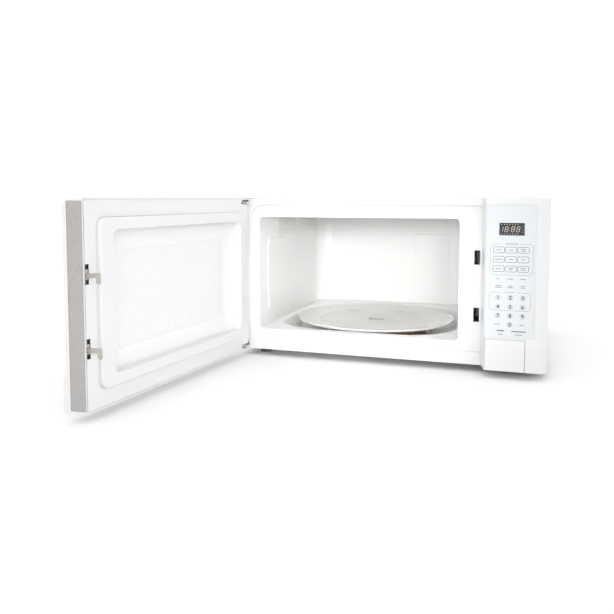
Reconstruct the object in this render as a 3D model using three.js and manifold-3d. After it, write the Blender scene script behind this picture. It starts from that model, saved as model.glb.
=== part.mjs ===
// Countertop microwave oven with its door standing open, as an assembly of separate pieces.
// Millimetres, +Z up. The oven is laid out from its left front lower corner: x = 0 is the cabinet's left
// side, y = 0 its front edge and z = 0 the surface it stands on. The front faces -Y.
import * as THREE from "three";
import { mergeVertices } from "three/addons/utils/BufferGeometryUtils.js";
import Module from "manifold-3d";

const wasm = await Module();
wasm.setup();

// Driving dimensions
const CABINET = { width: 610, depth: 486, bottom: 13, top: 333.2, corner: 8 };
const SHEET = 0.8;
const GAP = 0.3;
const FOOT = { height: 12 - GAP, radius: 13, inset: 40 };
const FACE = { front: -34.5, chin: -40, chinTop: 74, chinSlope: 10, bottom: 14.3, top: 333.6, wall: 2.5 };
const BEVEL = { width: 13, depth: 5 };
const PLATE = { front: 0.5, recess: 7.2, stepRadius: 25 };
const RECESS = { left: 22, right: 491.5, low: 38, high: 318.4 };
const MOUTH = { left: 38.8, right: 449, low: 55.8, high: 293, corner: 8 };
const CAVITY = { front: 8.3, back: 455, rearCorner: 40, flange: 8 };
const WELL = { half: 195, corner: 120, floor: 27.5, draft: 16 };
const TURN = { x: 243, y: 230.5 };
const TRAY = { radius: 181, wellRadius: 130.5, rim: 57.7, wellTop: 49.6, under: 45.1 };
const ROLLER = { radius: 8.5, width: 8, pitchRadius: 131, bore: 2.3, firstAngle: -133 };
const HINGE = { x: 7.8, y: -12.6, upper: 322.4, lower: 25, openAngle: 97, pinRadius: 2.6 };
const DOOR = { left: 3, rightFront: 495, rightBack: 488.5, back: -1.5 };
const CHOKE = { left: 28, right: 459.6, low: 45.4, high: 304, corner: 15, front: 5.7 };
const CHOKE_INNER = { left: 48, right: 430.4, low: 64, high: 284.5, corner: 12, depth: 17.4 };
const STRIP = { front: -27.3, inset: 3, lean: 5.6, thick: 1.2, low: 20, high: 328 };
const WINDOW = { left: 78, right: 415, low: 92, high: 258 };
const SLOT = { left: 477.5, right: 488, height: 27.4, lowers: [95.4, 205.8] };
const HOOK = { x: 479, thick: 4, reach: 22.5, armRise: 10, armHeight: 8, tip: 6 };
const PANEL = { leftFront: 499, leftBack: 491.9, right: 610 };
const BUTTON = { left: 501, right: 571.6, low: 14.8, high: 72.6, back: -24.3, travel: 6 };
const MEMBRANE = { left: 502.2, right: 586.6, low: 76.5, high: 320.3, corner: 5 };
const DISPLAY = { left: 522.8, right: 566.3, low: 265, high: 287.5 };
const LEVER = { y: 16, z: 86, left: 479, right: 514 };
const FAN = { x: 530, z: 120, radius: 43 };
const REAR_SCREWS = { left: [30, 300], middle: [305, 322], right: [580, 300] };

// Geometry helpers: three.js shapes, joined and cut as closed solids

function solidOf(geometry) {
  const bare = geometry.index ? geometry.toNonIndexed() : geometry.clone();
  bare.deleteAttribute("normal");
  bare.deleteAttribute("uv");
  const merged = mergeVertices(bare, 1e-4);
  return new wasm.Manifold(
    new wasm.Mesh({
      numProp: 3,
      vertProperties: merged.attributes.position.array,
      triVerts: new Uint32Array(merged.index.array),
    }),
  );
}

function geometryOf(solid) {
  const mesh = solid.getMesh();
  const geometry = new THREE.BufferGeometry();
  geometry.setAttribute("position", new THREE.BufferAttribute(mesh.vertProperties, 3));
  geometry.setIndex(new THREE.BufferAttribute(mesh.triVerts, 1));
  geometry.computeVertexNormals();
  return geometry;
}

function join(...geometries) {
  return geometryOf(geometries.map(solidOf).reduce((sum, piece) => sum.add(piece)));
}

function cut(geometry, ...tools) {
  return geometryOf(tools.reduce((rest, tool) => rest.subtract(solidOf(tool)), solidOf(geometry)));
}

function common(geometry, tool) {
  return geometryOf(solidOf(geometry).intersect(solidOf(tool)));
}

// A block from its lowest to its highest corner
function block(x0, y0, z0, x1, y1, z1) {
  const geometry = new THREE.BoxGeometry(x1 - x0, y1 - y0, z1 - z0);
  return geometry.translate((x0 + x1) / 2, (y0 + y1) / 2, (z0 + z1) / 2);
}

function outline(points) {
  return new THREE.Shape(points.map(([u, v]) => new THREE.Vector2(u, v)));
}

// A rectangle with a radius for each corner: low left, low right, high right, high left
function roundedRectangle(u0, v0, u1, v1, radii) {
  const [a, b, c, d] = Array.isArray(radii) ? radii : [radii, radii, radii, radii];
  const shape = new THREE.Shape();
  shape.moveTo(u0 + a, v0);
  shape.lineTo(u1 - b, v0);
  if (b) shape.absarc(u1 - b, v0 + b, b, -Math.PI / 2, 0, false);
  shape.lineTo(u1, v1 - c);
  if (c) shape.absarc(u1 - c, v1 - c, c, 0, Math.PI / 2, false);
  shape.lineTo(u0 + d, v1);
  if (d) shape.absarc(u0 + d, v1 - d, d, Math.PI / 2, Math.PI, false);
  shape.lineTo(u0, v0 + a);
  if (a) shape.absarc(u0 + a, v0 + a, a, Math.PI, 1.5 * Math.PI, false);
  return shape;
}

function extruded(shape, depth, curveSegments = 5) {
  return new THREE.ExtrudeGeometry(shape, { depth, bevelEnabled: false, curveSegments });
}

// Outline in (x, z), pulled from y0 to y1
function alongY(shape, y0, y1, curveSegments) {
  return extruded(shape, y1 - y0, curveSegments).rotateX(Math.PI / 2).translate(0, y1, 0);
}

// Outline in (x, y), pulled from z0 to z1
function alongZ(shape, z0, z1, curveSegments) {
  return extruded(shape, z1 - z0, curveSegments).translate(0, 0, z0);
}

// Outline in (y, z), pulled from x0 to x1
function alongX(shape, x0, x1, curveSegments) {
  const turn = new THREE.Matrix4().makeBasis(
    new THREE.Vector3(0, 1, 0),
    new THREE.Vector3(0, 0, 1),
    new THREE.Vector3(1, 0, 0),
  );
  return extruded(shape, x1 - x0, curveSegments).applyMatrix4(turn).translate(x0, 0, 0);
}

// Round bars along each axis
function barZ(radius, x, y, z0, z1, sides = 24) {
  const geometry = new THREE.CylinderGeometry(radius, radius, z1 - z0, sides).rotateX(Math.PI / 2);
  return geometry.translate(x, y, (z0 + z1) / 2);
}

function barY(radius, x, z, y0, y1, sides = 24) {
  return new THREE.CylinderGeometry(radius, radius, y1 - y0, sides).translate(x, (y0 + y1) / 2, z);
}

function barX(radius, y, z, x0, x1, sides = 24) {
  const geometry = new THREE.CylinderGeometry(radius, radius, x1 - x0, sides).rotateZ(Math.PI / 2);
  return geometry.translate((x0 + x1) / 2, y, z);
}

// A turned piece about a vertical axis, from (radius, height) pairs in counterclockwise order
function turned(points, sides) {
  const profile = points.map(([radius, height]) => new THREE.Vector2(radius, height));
  return new THREE.LatheGeometry(profile, sides).rotateX(Math.PI / 2);
}

function rowOf(count, make) {
  return Array.from({ length: count }, (_, i) => make(i));
}

// Finishes

function finish(color, roughness, metalness) {
  return new THREE.MeshStandardMaterial({ color, roughness, metalness });
}

const whitePaint = finish(0xf2f2f0, 0.35, 0.1);
const cavityPaint = finish(0xf0f1ec, 0.4, 0.1);
const whitePlastic = finish(0xf4f4f3, 0.3, 0);
const palePlastic = finish(0xe9eff3, 0.35, 0);
const greyPlastic = finish(0xc8c6c3, 0.5, 0);
const beigePlastic = finish(0xcdc6ba, 0.5, 0);
const blackPlastic = finish(0x1c1b1f, 0.25, 0);
const brownPlastic = finish(0x7a5545, 0.5, 0);
const zincSteel = finish(0xb9bcbd, 0.35, 0.9);
const darkSteel = finish(0x5c5b58, 0.5, 0.8);
const copper = finish(0xb0714a, 0.35, 0.9);
const greenBoard = finish(0x2f6b43, 0.5, 0.1);
const clearGlass = finish(0xe6efe9, 0.08, 0);
const smokedGlass = finish(0x4a4c50, 0.1, 0);
const mica = finish(0xc9b48f, 0.55, 0);
const softRubber = finish(0x3a3a3c, 0.8, 0);

// Cabinet: wrapper, base pan, rear panel, front plate and feet

function slotBank(x0, x1, y0, pitch, z0, length, height, rows, columns) {
  return rowOf(rows * columns, (i) => {
    const y = y0 + (i % columns) * (length + 8);
    const z = z0 + Math.floor(i / columns) * pitch;
    return block(x0, y, z, x1, y + length, z + height);
  });
}

function outerCabinet() {
  const { width, depth, bottom, top, corner } = CABINET;
  const outer = roundedRectangle(0, bottom, width, top, [0, 0, corner, corner]);
  const inner = roundedRectangle(
    SHEET, bottom - 1, width - SHEET, top - SHEET, [0, 0, corner - SHEET, corner - SHEET],
  );
  return cut(
    alongY(outer, 0, depth, 3),
    alongY(inner, -1, depth + 1, 3),
    ...slotBank(width - 2, width + 1, 330, 9, 70, 58, 3, 8, 2),
    ...slotBank(-1, 2, 350, 9, 230, 58, 3, 6, 1),
  );
}

function basePan() {
  const [x0, x1] = [SHEET + GAP, CABINET.width - SHEET - GAP];
  const [y0, y1] = [10, CABINET.depth - 4];
  const tray = cut(
    block(x0, y0, FOOT.height + GAP, x1, y1, 23),
    block(x0 + SHEET, y0 + SHEET, FOOT.height + GAP + SHEET, x1 - SHEET, y1 - SHEET, 24),
  );
  const footHoles = footPlaces().map(([x, y]) => barZ(3.4, x, y, 10, 15, 12));
  const vents = rowOf(8, (i) => block(470, 250 + i * 10, 10, 540, 254 + i * 10, 15));
  return cut(tray, ...footHoles, ...vents);
}

function rearPanel() {
  const [x0, x1] = [SHEET + GAP, CABINET.width - SHEET - GAP];
  const y = CABINET.depth - 3;
  const sheet = block(x0, y, CABINET.bottom + 0.5, x1, y + SHEET, CABINET.top - SHEET - GAP);
  const trimmed = common(
    sheet,
    alongY(roundedRectangle(x0, 13, x1, CABINET.top - SHEET - GAP, [0, 0, 7, 7]), y - 1, y + 2, 3),
  );
  const louvres = rowOf(16, (i) => {
    const x = 60 + (i % 2) * 110;
    const z = 220 + Math.floor(i / 2) * 10;
    return block(x, y - 1, z, x + 90, y + 2, z + 3.5);
  });
  const fanGrille = rowOf(7, (i) => block(485, y - 1, 84 + i * 11, 575, y + 2, 88 + i * 11));
  const screwHoles = Object.values(REAR_SCREWS).map(([x, z]) => barY(2.2, x, z, y - 1, y + 2, 10));
  const bushHole = barY(7.4, 560, 42, y - 1, y + 2, 16);
  return cut(trimmed, ...louvres, ...fanGrille, ...screwHoles, bushHole);
}

function frontPlate() {
  const { front, recess, stepRadius } = PLATE;
  const { left, right, low, high } = RECESS;
  const [x0, x1] = [SHEET + GAP, CABINET.width - SHEET - GAP];
  const [z0, z1] = [CABINET.bottom + 0.5, CABINET.top - SHEET - GAP];
  const edge = roundedRectangle(x0, z0, x1, z1, [0, 0, 7, 7]);
  const pocket = roundedRectangle(left, low, right, high, stepRadius);
  const pocketBack = roundedRectangle(
    left - SHEET, low - SHEET, right + SHEET, high + SHEET, stepRadius + SHEET,
  );
  const rim = cut(alongY(edge, front, front + SHEET, 3), alongY(pocketBack, -2, 9, 5));
  const dish = cut(
    alongY(pocketBack, front, recess + SHEET, 5),
    alongY(pocket, front - 1, recess, 5),
  );
  const mouth = roundedRectangle(MOUTH.left, MOUTH.low, MOUTH.right, MOUTH.high, MOUTH.corner);
  const slots = SLOT.lowers.map((z) => block(SLOT.left, 5, z, SLOT.right, 10, z + SLOT.height));
  const ribHole = block(500, -1, 52, 520, 3, 68);
  const wiringHole = block(530, -1, 180, 590, 3, 240);
  return cut(join(rim, dish), alongY(mouth, 5, 10, 3), ...slots, ribHole, wiringHole);
}

function footPlaces() {
  const { inset } = FOOT;
  return [
    [inset, inset],
    [CABINET.width - inset, inset],
    [inset, CABINET.depth - inset],
    [CABINET.width - inset, CABINET.depth - inset],
  ];
}

function foot([x, y]) {
  const { height, radius } = FOOT;
  const pad = [[0, 0], [radius - 1.5, 0], [radius, 1.5], [radius - 2, height]];
  const stem = [[3, height], [3, height + 3.5], [0, height + 3.5]];
  return turned([...pad, ...stem], 20).translate(x, y, 0);
}

function rearScrew([x, z]) {
  const y = CABINET.depth - 3 + SHEET + GAP;
  return join(barY(4, x, z, y, y + 2, 12), barY(1.6, x, z, y - 4, y + 1, 8));
}

// Cooking cavity and turntable

function wellTool(grow) {
  const half = WELL.half + grow;
  const corner = WELL.corner + grow;
  const shape = roundedRectangle(-half, -half, half, half, corner);
  const drop = MOUTH.low - WELL.floor;
  const tool = new THREE.ExtrudeGeometry(shape, {
    depth: 4,
    bevelEnabled: true,
    bevelThickness: drop,
    bevelSize: WELL.draft,
    bevelOffset: -WELL.draft,
    bevelSegments: 1,
    curveSegments: 8,
  });
  return tool.translate(TURN.x, TURN.y, MOUTH.low - grow);
}

function cavityPlan(grow, front = CAVITY.front) {
  const corner = CAVITY.rearCorner + grow;
  return roundedRectangle(
    MOUTH.left - grow, front, MOUTH.right + grow, CAVITY.back + grow, [0, 0, corner, corner],
  );
}

// A strip along the cavity's front edge, spot welded to the back of the front plate
function cavityFlange(x0, z0, x1, z1) {
  return block(x0, CAVITY.front, z0, x1, CAVITY.front + SHEET, z1);
}

// One sheet bent round both sides and the back, with vents for steam, lamp light and microwaves
function cavityWallWrap() {
  const [z0, z1] = [MOUTH.low + GAP, MOUTH.high - GAP];
  const { left, right } = MOUTH;
  const wall = cut(
    alongZ(cavityPlan(SHEET), z0, z1, 6),
    alongZ(cavityPlan(0, CAVITY.front - 1), z0 - 1, z1 + 1, 6),
  );
  const steamVents = rowOf(12, (i) => {
    const y = 125 + (i % 2) * 163;
    const z = 249 + Math.floor(i / 2) * 6.6;
    return block(left - 2, y, z, left + 1, y + 122, z + 3);
  });
  const lampVents = rowOf(4, (i) => block(right - 1, 320, 236 + i * 8, right + 2, 350, 240 + i * 8));
  const antennaWindow = block(right - 1, 195, 180, right + 2, 275, 230);
  const flanges = [[left - CAVITY.flange, left], [right, right + CAVITY.flange]].map(([x0, x1]) => {
    return cavityFlange(x0, z0, x1, z1);
  });
  return cut(join(wall, ...flanges), ...steamVents, ...lampVents, antennaWindow);
}

function cavityCeiling() {
  const { left, right, high } = MOUTH;
  return join(
    alongZ(cavityPlan(SHEET), high, high + SHEET, 6),
    cavityFlange(left - CAVITY.flange, high, right + CAVITY.flange, high + CAVITY.flange),
  );
}

// The floor sinks into a round-cornered well, where the roller ring and the tray's middle sit
function cavityFloor() {
  const { left, right, low } = MOUTH;
  const wellDepth = block(left, CAVITY.front, WELL.floor - 5, right, CAVITY.back, low - SHEET / 2);
  return cut(
    join(
      alongZ(cavityPlan(SHEET), low - SHEET, low, 6),
      cavityFlange(left - CAVITY.flange, low - CAVITY.flange, right + CAVITY.flange, low),
      common(wellTool(SHEET), wellDepth),
    ),
    wellTool(0),
    barZ(6, TURN.x, TURN.y, WELL.floor - 5, WELL.floor + 5, 16),
  );
}

function waveguideCover() {
  return alongX(roundedRectangle(180, 168, 290, 242, 6), 448, 448.6, 2);
}

function turntableTray() {
  const { radius, wellRadius, rim, wellTop, under } = TRAY;
  const dish = turned(
    [
      [0, under], [wellRadius + 5, under], [radius - 4, rim - 5.4], [radius, rim - 3.4], [radius, rim - 0.8],
      [radius - 0.8, rim], [radius - 2.6, rim], [radius - 5, rim - 1.6], [wellRadius + 8, wellTop + 0.9],
      [wellRadius, wellTop], [0, wellTop],
    ],
    48,
  );
  const bosses = rowOf(3, (i) => {
    const angle = (i * 2 * Math.PI) / 3;
    return barZ(3.5, 17 * Math.cos(angle), 17 * Math.sin(angle), under - 4, under + 1, 10);
  });
  return join(dish, ...bosses).translate(TURN.x, TURN.y, 0);
}

function turntableCoupler() {
  const hub = turned([[0, 19], [3, 19], [3, 31], [9, 31], [9, 43.6], [0, 43.6]], 16);
  const lobes = rowOf(3, (i) => {
    const lobe = block(4, -3, 38, 22, 3, 43.6);
    return lobe.rotateZ(((i + 0.5) * 2 * Math.PI) / 3);
  });
  return join(hub, ...lobes).translate(TURN.x, TURN.y, 0);
}

function turntableMotor() {
  const body = barZ(24, TURN.x, TURN.y, 13.2, WELL.floor - SHEET - GAP, 28);
  const ears = block(TURN.x - 32, TURN.y - 6, 22.4, TURN.x + 32, TURN.y + 6, 23.6);
  const terminals = block(TURN.x - 8, TURN.y + 20, 15, TURN.x + 8, TURN.y + 34, 20);
  return cut(join(body, ears, terminals), barZ(3.4, TURN.x, TURN.y, 18, 30, 16));
}

function rollerPlaces() {
  return rowOf(3, (i) => THREE.MathUtils.degToRad(ROLLER.firstAngle + i * 120));
}

function rollerHeight() {
  return WELL.floor + GAP + ROLLER.radius;
}

function rollerRing() {
  const z = rollerHeight();
  const inner = ROLLER.pitchRadius - ROLLER.width / 2 - 10;
  const outer = ROLLER.pitchRadius - ROLLER.width / 2 - 1;
  const ring = turned([[inner, z - 4], [outer, z - 4], [outer, z + 4], [inner, z + 4], [inner, z - 4]], 48);
  const axles = rollerPlaces().map((angle) => {
    return barX(1.9, 0, z, inner + 2, ROLLER.pitchRadius + 6, 10).rotateZ(angle);
  });
  return join(ring, ...axles).translate(TURN.x, TURN.y, 0);
}

function roller(angle) {
  const { radius, width, pitchRadius, bore } = ROLLER;
  const z = rollerHeight();
  const wheel = barX(radius, 0, z, pitchRadius - width / 2, pitchRadius + width / 2, 24);
  const hole = barX(bore, 0, z, pitchRadius - width, pitchRadius + width, 12);
  return cut(wheel, hole).rotateZ(angle).translate(TURN.x, TURN.y, 0);
}

// Machinery in the right-hand compartment

function waveguide() {
  const shell = cut(
    block(450.1, 188, 172, 490, 282, 238),
    block(449, 188 + SHEET, 172 + SHEET, 490 - SHEET, 282 - SHEET, 238 - SHEET),
  );
  return cut(shell, barX(11, 235, 205, 480, 495, 16));
}

function magnetron() {
  const yoke = [block(505, 188, 158, 508, 282, 252), block(566, 188, 158, 569, 282, 252)];
  const sides = [block(505, 188, 158, 569, 190, 252), block(505, 280, 158, 569, 282, 252)];
  const tube = barX(21, 235, 205, 505, 569, 20);
  const fins = rowOf(7, (i) => block(515 + i * 7, 189, 168, 516.2 + i * 7, 281, 242));
  const antenna = barX(8, 235, 205, 468, 506, 16);
  const collar = barX(15, 235, 205, 491, 506, 20);
  const filterBox = block(568, 205, 180, 598, 265, 232);
  return join(...yoke, ...sides, tube, ...fins, antenna, collar, filterBox);
}

function highVoltageTransformer() {
  const core = block(492, 70, 15, 588, 150, 88);
  const windings = join(block(504, 56, 30, 576, 164, 48), block(504, 58, 54, 576, 162, 74));
  const feet = block(484, 78, 13.2, 596, 142, 16);
  return join(core, windings, feet);
}

function highVoltageCapacitor() {
  const can = alongZ(roundedRectangle(500, 186, 554, 222, 17.9), 13.2, 104, 6);
  const terminals = [barZ(3, 517, 204, 103, 112, 8), barZ(3, 537, 204, 103, 112, 8)];
  return join(can, ...terminals);
}

function highVoltageDiode() {
  return join(barY(4.5, 574, 30, 186, 214, 12), block(570, 212, 26, 578, 226, 28));
}

function fanShroud() {
  const plate = block(474, 428, 62, 590, 430, 178);
  const collar = barY(FAN.radius + 5, FAN.x, FAN.z, 428, 452, 32);
  const throat = barY(FAN.radius + 2.5, FAN.x, FAN.z, 420, 460, 32);
  const foot = block(490, 428, 13.2, 570, 430, 64);
  return cut(join(plate, collar, foot), throat);
}

function fanBlade() {
  const hub = barY(11, 0, 0, -9, 7, 16);
  const shaft = barY(2, 0, 0, 5, 24, 10);
  const blades = rowOf(5, (i) => {
    const blade = block(8, -1, -9, FAN.radius, 1, 9).rotateX(THREE.MathUtils.degToRad(35));
    return blade.rotateY((i * 2 * Math.PI) / 5);
  });
  return join(hub, shaft, ...blades).translate(FAN.x, 442, FAN.z);
}

function fanMotor() {
  const [x, z] = [FAN.x, FAN.z];
  const core = block(x - 24, 461, z - 30, x + 24, 476, z + 22);
  const coil = block(x - 14, 457, z - 46, x + 14, 480, z - 28);
  const bearings = barY(7, x, z, 456, 480, 14);
  const arms = block(x - 60, 466, z - 4, x + 60, 469, z + 4);
  return cut(join(core, coil, bearings, arms), barY(2.3, x, z, 450, 470, 12));
}

function noiseFilterBoard() {
  const board = block(500, 340, 296, 596, 420, 297.6);
  const choke = barZ(14, 525, 380, 297, 318, 16);
  const fuse = block(560, 350, 297, 568, 400, 306);
  const capacitor = block(574, 372, 297, 590, 396, 314);
  return join(board, choke, fuse, capacitor);
}

function thermalCutout() {
  const z = MOUTH.high + SHEET + GAP;
  return join(
    barZ(8, 330, 300, z, z + 9, 16),
    block(318, 296, z, 342, 304, z + 1),
    block(327, 297, z + 8, 333, 303, z + 14),
  );
}

function ovenLamp() {
  const bulb = [[0, -22], [5, -21], [9.5, -16], [11, -9], [9, -1], [6.5, 5]];
  const cap = [[6.5, 18], [0, 18]];
  return turned([...bulb, ...cap], 16).translate(472, 335, 258);
}

function lampSocket() {
  const sleeve = cut(barZ(10, 472, 335, 266, 284, 18), barZ(7, 472, 335, 260, 277, 16));
  return join(sleeve, block(451, 325, 279, 473, 345, 281), block(451, 325, 262, 452.5, 345, 281));
}

function cordInletBush() {
  const y = CABINET.depth - 3;
  const sleeve = barY(7, 560, 42, y - 6, y + 3, 16);
  const flange = barY(10.5, 560, 42, y + SHEET + GAP, y + 3, 20);
  return cut(join(sleeve, flange), barY(4, 560, 42, y - 10, y + 10, 12));
}

// Door interlock and door release

function interlockBracket() {
  const [x0, x1] = [467, 524];
  const back = block(x0, 8.5, 50, x1, 10.5, 246);
  const cheeks = [block(x0, 8.5, 50, x0 + 2, 42, 246), block(x1 - 2, 8.5, 50, x1, 42, 246)];
  const shelves = [block(x0, 8.5, 140, x1, 42, 142), block(x0, 8.5, 244, x1, 42, 246)];
  const catches = SLOT.lowers.map((z) => block(x0, 9, z - 5.5, 488, 15, z - 0.6));
  const windows = SLOT.lowers.map((z) => block(SLOT.left - 1, 8, z - 0.3, SLOT.right + 1, 11, z + 28));
  const leverSpace = block(499, 8, 54, 521, 11, 82);
  const pivotHoles = barX(2.4, LEVER.y, LEVER.z, 460, 530, 12);
  const body = join(cut(back, ...windows, leverSpace), ...cheeks, ...shelves, ...catches);
  return cut(body, pivotHoles);
}

function doorSwitch(z) {
  const body = block(482, 27, z, 492, 42, z + 28);
  const plunger = block(485.5, 24.5, z + 18, 488.5, 28, z + 21);
  const tabs = block(485, 41, z + 6, 489, 50, z + 10);
  return join(body, plunger, tabs);
}

function openLever() {
  const { y, z, left, right } = LEVER;
  const hub = barX(3.2, y, z, left, right, 14);
  const spindle = barX(2, y, z, 466, 525, 10);
  const pushArm = block(505, y - 2, z - 28, 514, y + 2, z);
  const finger = alongX(
    outline([[y - 2, z - 2.5], [y + 9, z + 2.5], [y + 9, z + 8.5], [y + 4, z + 8.5]]), left + 0.5, 486.5,
  );
  return join(hub, spindle, pushArm, finger);
}

function leverSpring() {
  const turns = 5;
  const coil = new THREE.CatmullRomCurve3(
    rowOf(turns * 8 + 1, (i) => {
      const angle = (i * 2 * Math.PI) / 8;
      return new THREE.Vector3(
        490 + (i / 8) * 1.6, LEVER.y + 4.3 * Math.cos(angle), LEVER.z + 4.3 * Math.sin(angle),
      );
    }),
  );
  const wire = roundedRectangle(-0.4, -0.4, 0.4, 0.4, 0);
  return new THREE.ExtrudeGeometry(wire, { steps: turns * 8, extrudePath: coil, bevelEnabled: false });
}

function doorOpenButton() {
  const { left, right, low, high, back, travel } = BUTTON;
  const { front, chin, chinTop, chinSlope, wall } = FACE;
  const rise = high - (chinTop - chinSlope);
  const topY = chin + ((front - chin) * rise) / chinSlope;
  const skin = outline([
    [back, low], [chin, low], [chin, chinTop - chinSlope], [topY, high], [back, high],
  ]);
  const hollow = outline([
    [back + 1, low + wall], [chin + wall, low + wall], [chin + wall, chinTop - chinSlope],
    [topY + wall, high - wall], [back + 1, high - wall],
  ]);
  const cap = cut(alongX(skin, left, right), alongX(hollow, left + wall, right - wall));
  const rib = block(507, chin + 1, 58, 512, LEVER.y - 2 - GAP, 61);
  const guide = block(540, chin + 1, 30, 543, back + travel, 50);
  return join(cap, rib, guide);
}

// Control panel

// The door and the control panel share one moulded face: a bevel along the top and a chin along the bottom
function topBevelTool(x0, x1) {
  const { front, top } = FACE;
  const { width, depth } = BEVEL;
  const past = 0.2;
  return alongX(
    outline([
      [front - depth * past, top - width * (1 + past)],
      [front + depth * (1 + past), top + width * past],
      [front - depth * past, top + width * past],
    ]),
    x0, x1,
  );
}

function chinBlock(x0, x1) {
  const { front, chin, chinTop, chinSlope, bottom } = FACE;
  const rise = chinSlope / (front - chin);
  return alongX(
    outline([
      [front + 1, chinTop + rise], [chin, chinTop - chinSlope], [chin, bottom], [front + 1, bottom],
    ]),
    x0, x1,
  );
}

function controlPanelHousing() {
  const { leftFront, leftBack, right } = PANEL;
  const { front, chin, bottom, top, wall } = FACE;
  const back = -0.3;
  const sideTurn = 3;
  const plan = outline([
    [leftBack, back], [leftFront, front], [right - BEVEL.width, front],
    [right, front + BEVEL.depth + sideTurn], [right, back],
  ]);
  const inside = outline([
    [leftBack + wall, back + 1], [leftFront + wall - 0.5, front + wall],
    [right - BEVEL.width - 1, front + wall],
    [right - wall, front + BEVEL.depth + sideTurn + 1.5], [right - wall, back + 1],
  ]);
  const body = alongZ(plan, bottom, top);
  const clear = 0.6;
  const buttonBay = block(
    BUTTON.left - clear, chin - 1, bottom - 1,
    BUTTON.right + clear, BUTTON.back + BUTTON.travel + clear, BUTTON.high + clear,
  );
  const hollow = alongZ(inside, bottom + wall, top - wall - BEVEL.depth);
  const membraneBed = alongY(
    roundedRectangle(
      MEMBRANE.left - GAP, MEMBRANE.low - GAP, MEMBRANE.right + GAP, MEMBRANE.high + GAP, MEMBRANE.corner,
    ),
    front - 1, front + 0.9, 3,
  );
  const displayHole = block(
    DISPLAY.left + 2, front - 1, DISPLAY.low + 2, DISPLAY.right - 2, front + 4, DISPLAY.high - 2,
  );
  const face = join(
    cut(body, topBevelTool(leftBack - 5, right + 5), hollow), chinBlock(leftFront, right - BEVEL.width),
  );
  return cut(face, buttonBay, membraneBed, displayHole);
}

function touchMembrane() {
  const sheet = alongY(
    roundedRectangle(MEMBRANE.left, MEMBRANE.low, MEMBRANE.right, MEMBRANE.high, MEMBRANE.corner),
    FACE.front, FACE.front + 0.6, 3,
  );
  return cut(
    sheet,
    block(
      DISPLAY.left - GAP, FACE.front - 1, DISPLAY.low - GAP,
      DISPLAY.right + GAP, FACE.front + 2, DISPLAY.high + GAP,
    ),
  );
}

function displayWindow() {
  return block(DISPLAY.left, FACE.front + 0.1, DISPLAY.low, DISPLAY.right, FACE.front + 0.7, DISPLAY.high);
}

function controlBoard() {
  const board = block(508, -20, 96, 600, -18.4, 312);
  const display = block(
    DISPLAY.left + 2.5, FACE.front + 1.2, DISPLAY.low + 2.5, DISPLAY.right - 2.5, -19, DISPLAY.high - 2.5,
  );
  const relays = rowOf(3, (i) => block(516 + i * 26, -19, 112, 534 + i * 26, -4, 136));
  const supply = block(552, -19, 200, 586, -1, 234);
  return join(board, display, ...relays, supply);
}

// Hinges

function hingeBracket(side) {
  const arm = block(HINGE.x - 4.6, HINGE.y - 6, -1.2, HINGE.x + 5.4, PLATE.front - GAP, 1.2);
  const fixing = block(DOOR.left, -1, -6, 17, PLATE.front - GAP, 7);
  const bracket = cut(join(arm, fixing), barZ(HINGE.pinRadius + GAP, HINGE.x, HINGE.y, -5, 5, 16));
  return bracket.translate(0, 0, HINGE[side]);
}

function hingePin(side) {
  const pin = join(barZ(HINGE.pinRadius, 0, 0, -15, 1.5, 16), barZ(4.4, 0, 0, 1.5, 3.2, 16));
  if (side === "lower") pin.rotateX(Math.PI);
  return pin.translate(HINGE.x, HINGE.y, HINGE[side]);
}

// Door, laid out shut and then swung open about the hinge pins

function doorPlan(inset, back) {
  const slope = (DOOR.rightFront - DOOR.rightBack) / (DOOR.back - FACE.front);
  const rightAt = (y) => DOOR.rightFront - slope * (y - FACE.front) - inset;
  const front = FACE.front + inset;
  return outline([
    [DOOR.left + inset, back], [DOOR.left + inset, front + BEVEL.depth],
    [DOOR.left + inset + BEVEL.width, front], [rightAt(front), front], [rightAt(back), back],
  ]);
}

function doorOuterFrame() {
  const { front, chin, bottom, top, wall } = FACE;
  const body = alongZ(doorPlan(0, DOOR.back), bottom, top);
  const hollow = alongZ(doorPlan(wall, DOOR.back + 1), bottom + wall, top - wall);
  const keepTop = alongX(
    outline([[front, top - BEVEL.width - 5], [front + BEVEL.depth + 3, top], [front, top]]), 0, 480,
  );
  const shell = join(
    cut(body, hollow), common(keepTop, body), chinBlock(DOOR.left + BEVEL.width, DOOR.rightFront + 0.5),
  );
  const window = alongY(
    roundedRectangle(WINDOW.left, WINDOW.low, WINDOW.right, WINDOW.high, 14), chin - 2, front + 6, 4,
  );
  const bosses = [
    block(DOOR.left + 1, HINGE.y - 8, 300, HINGE.x + 8, DOOR.back - 4.5, 316),
    block(DOOR.left + 1, HINGE.y - 8, 32, HINGE.x + 8, DOOR.back - 4.5, 48),
  ];
  const armSpaces = [
    block(-5, HINGE.y - 9, 315.8, HINGE.x + 10, 5, 330.4),
    block(-5, HINGE.y - 9, 17.4, HINGE.x + 10, 5, 32.2),
  ];
  const pinHoles = [[303, 320], [30, 45]].map(([z0, z1]) => barZ(3.1, HINGE.x, HINGE.y, z0, z1, 16));
  const springSeat = block(470, -18, 272, 491, -6, 275);
  const { rightFront } = DOOR;
  const stripBed = alongZ(
    outline([
      [rightFront + 4, STRIP.front], [rightFront - STRIP.inset, STRIP.front],
      [rightFront - STRIP.inset - STRIP.lean, 0], [rightFront, 0],
    ]),
    STRIP.low - 1, STRIP.high + 1,
  );
  const frame = join(
    cut(shell, topBevelTool(DOOR.left - 5, rightFront + 5)), ...bosses, common(springSeat, body),
  );
  return cut(frame, window, ...armSpaces, ...pinHoles, stripBed);
}

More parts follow.
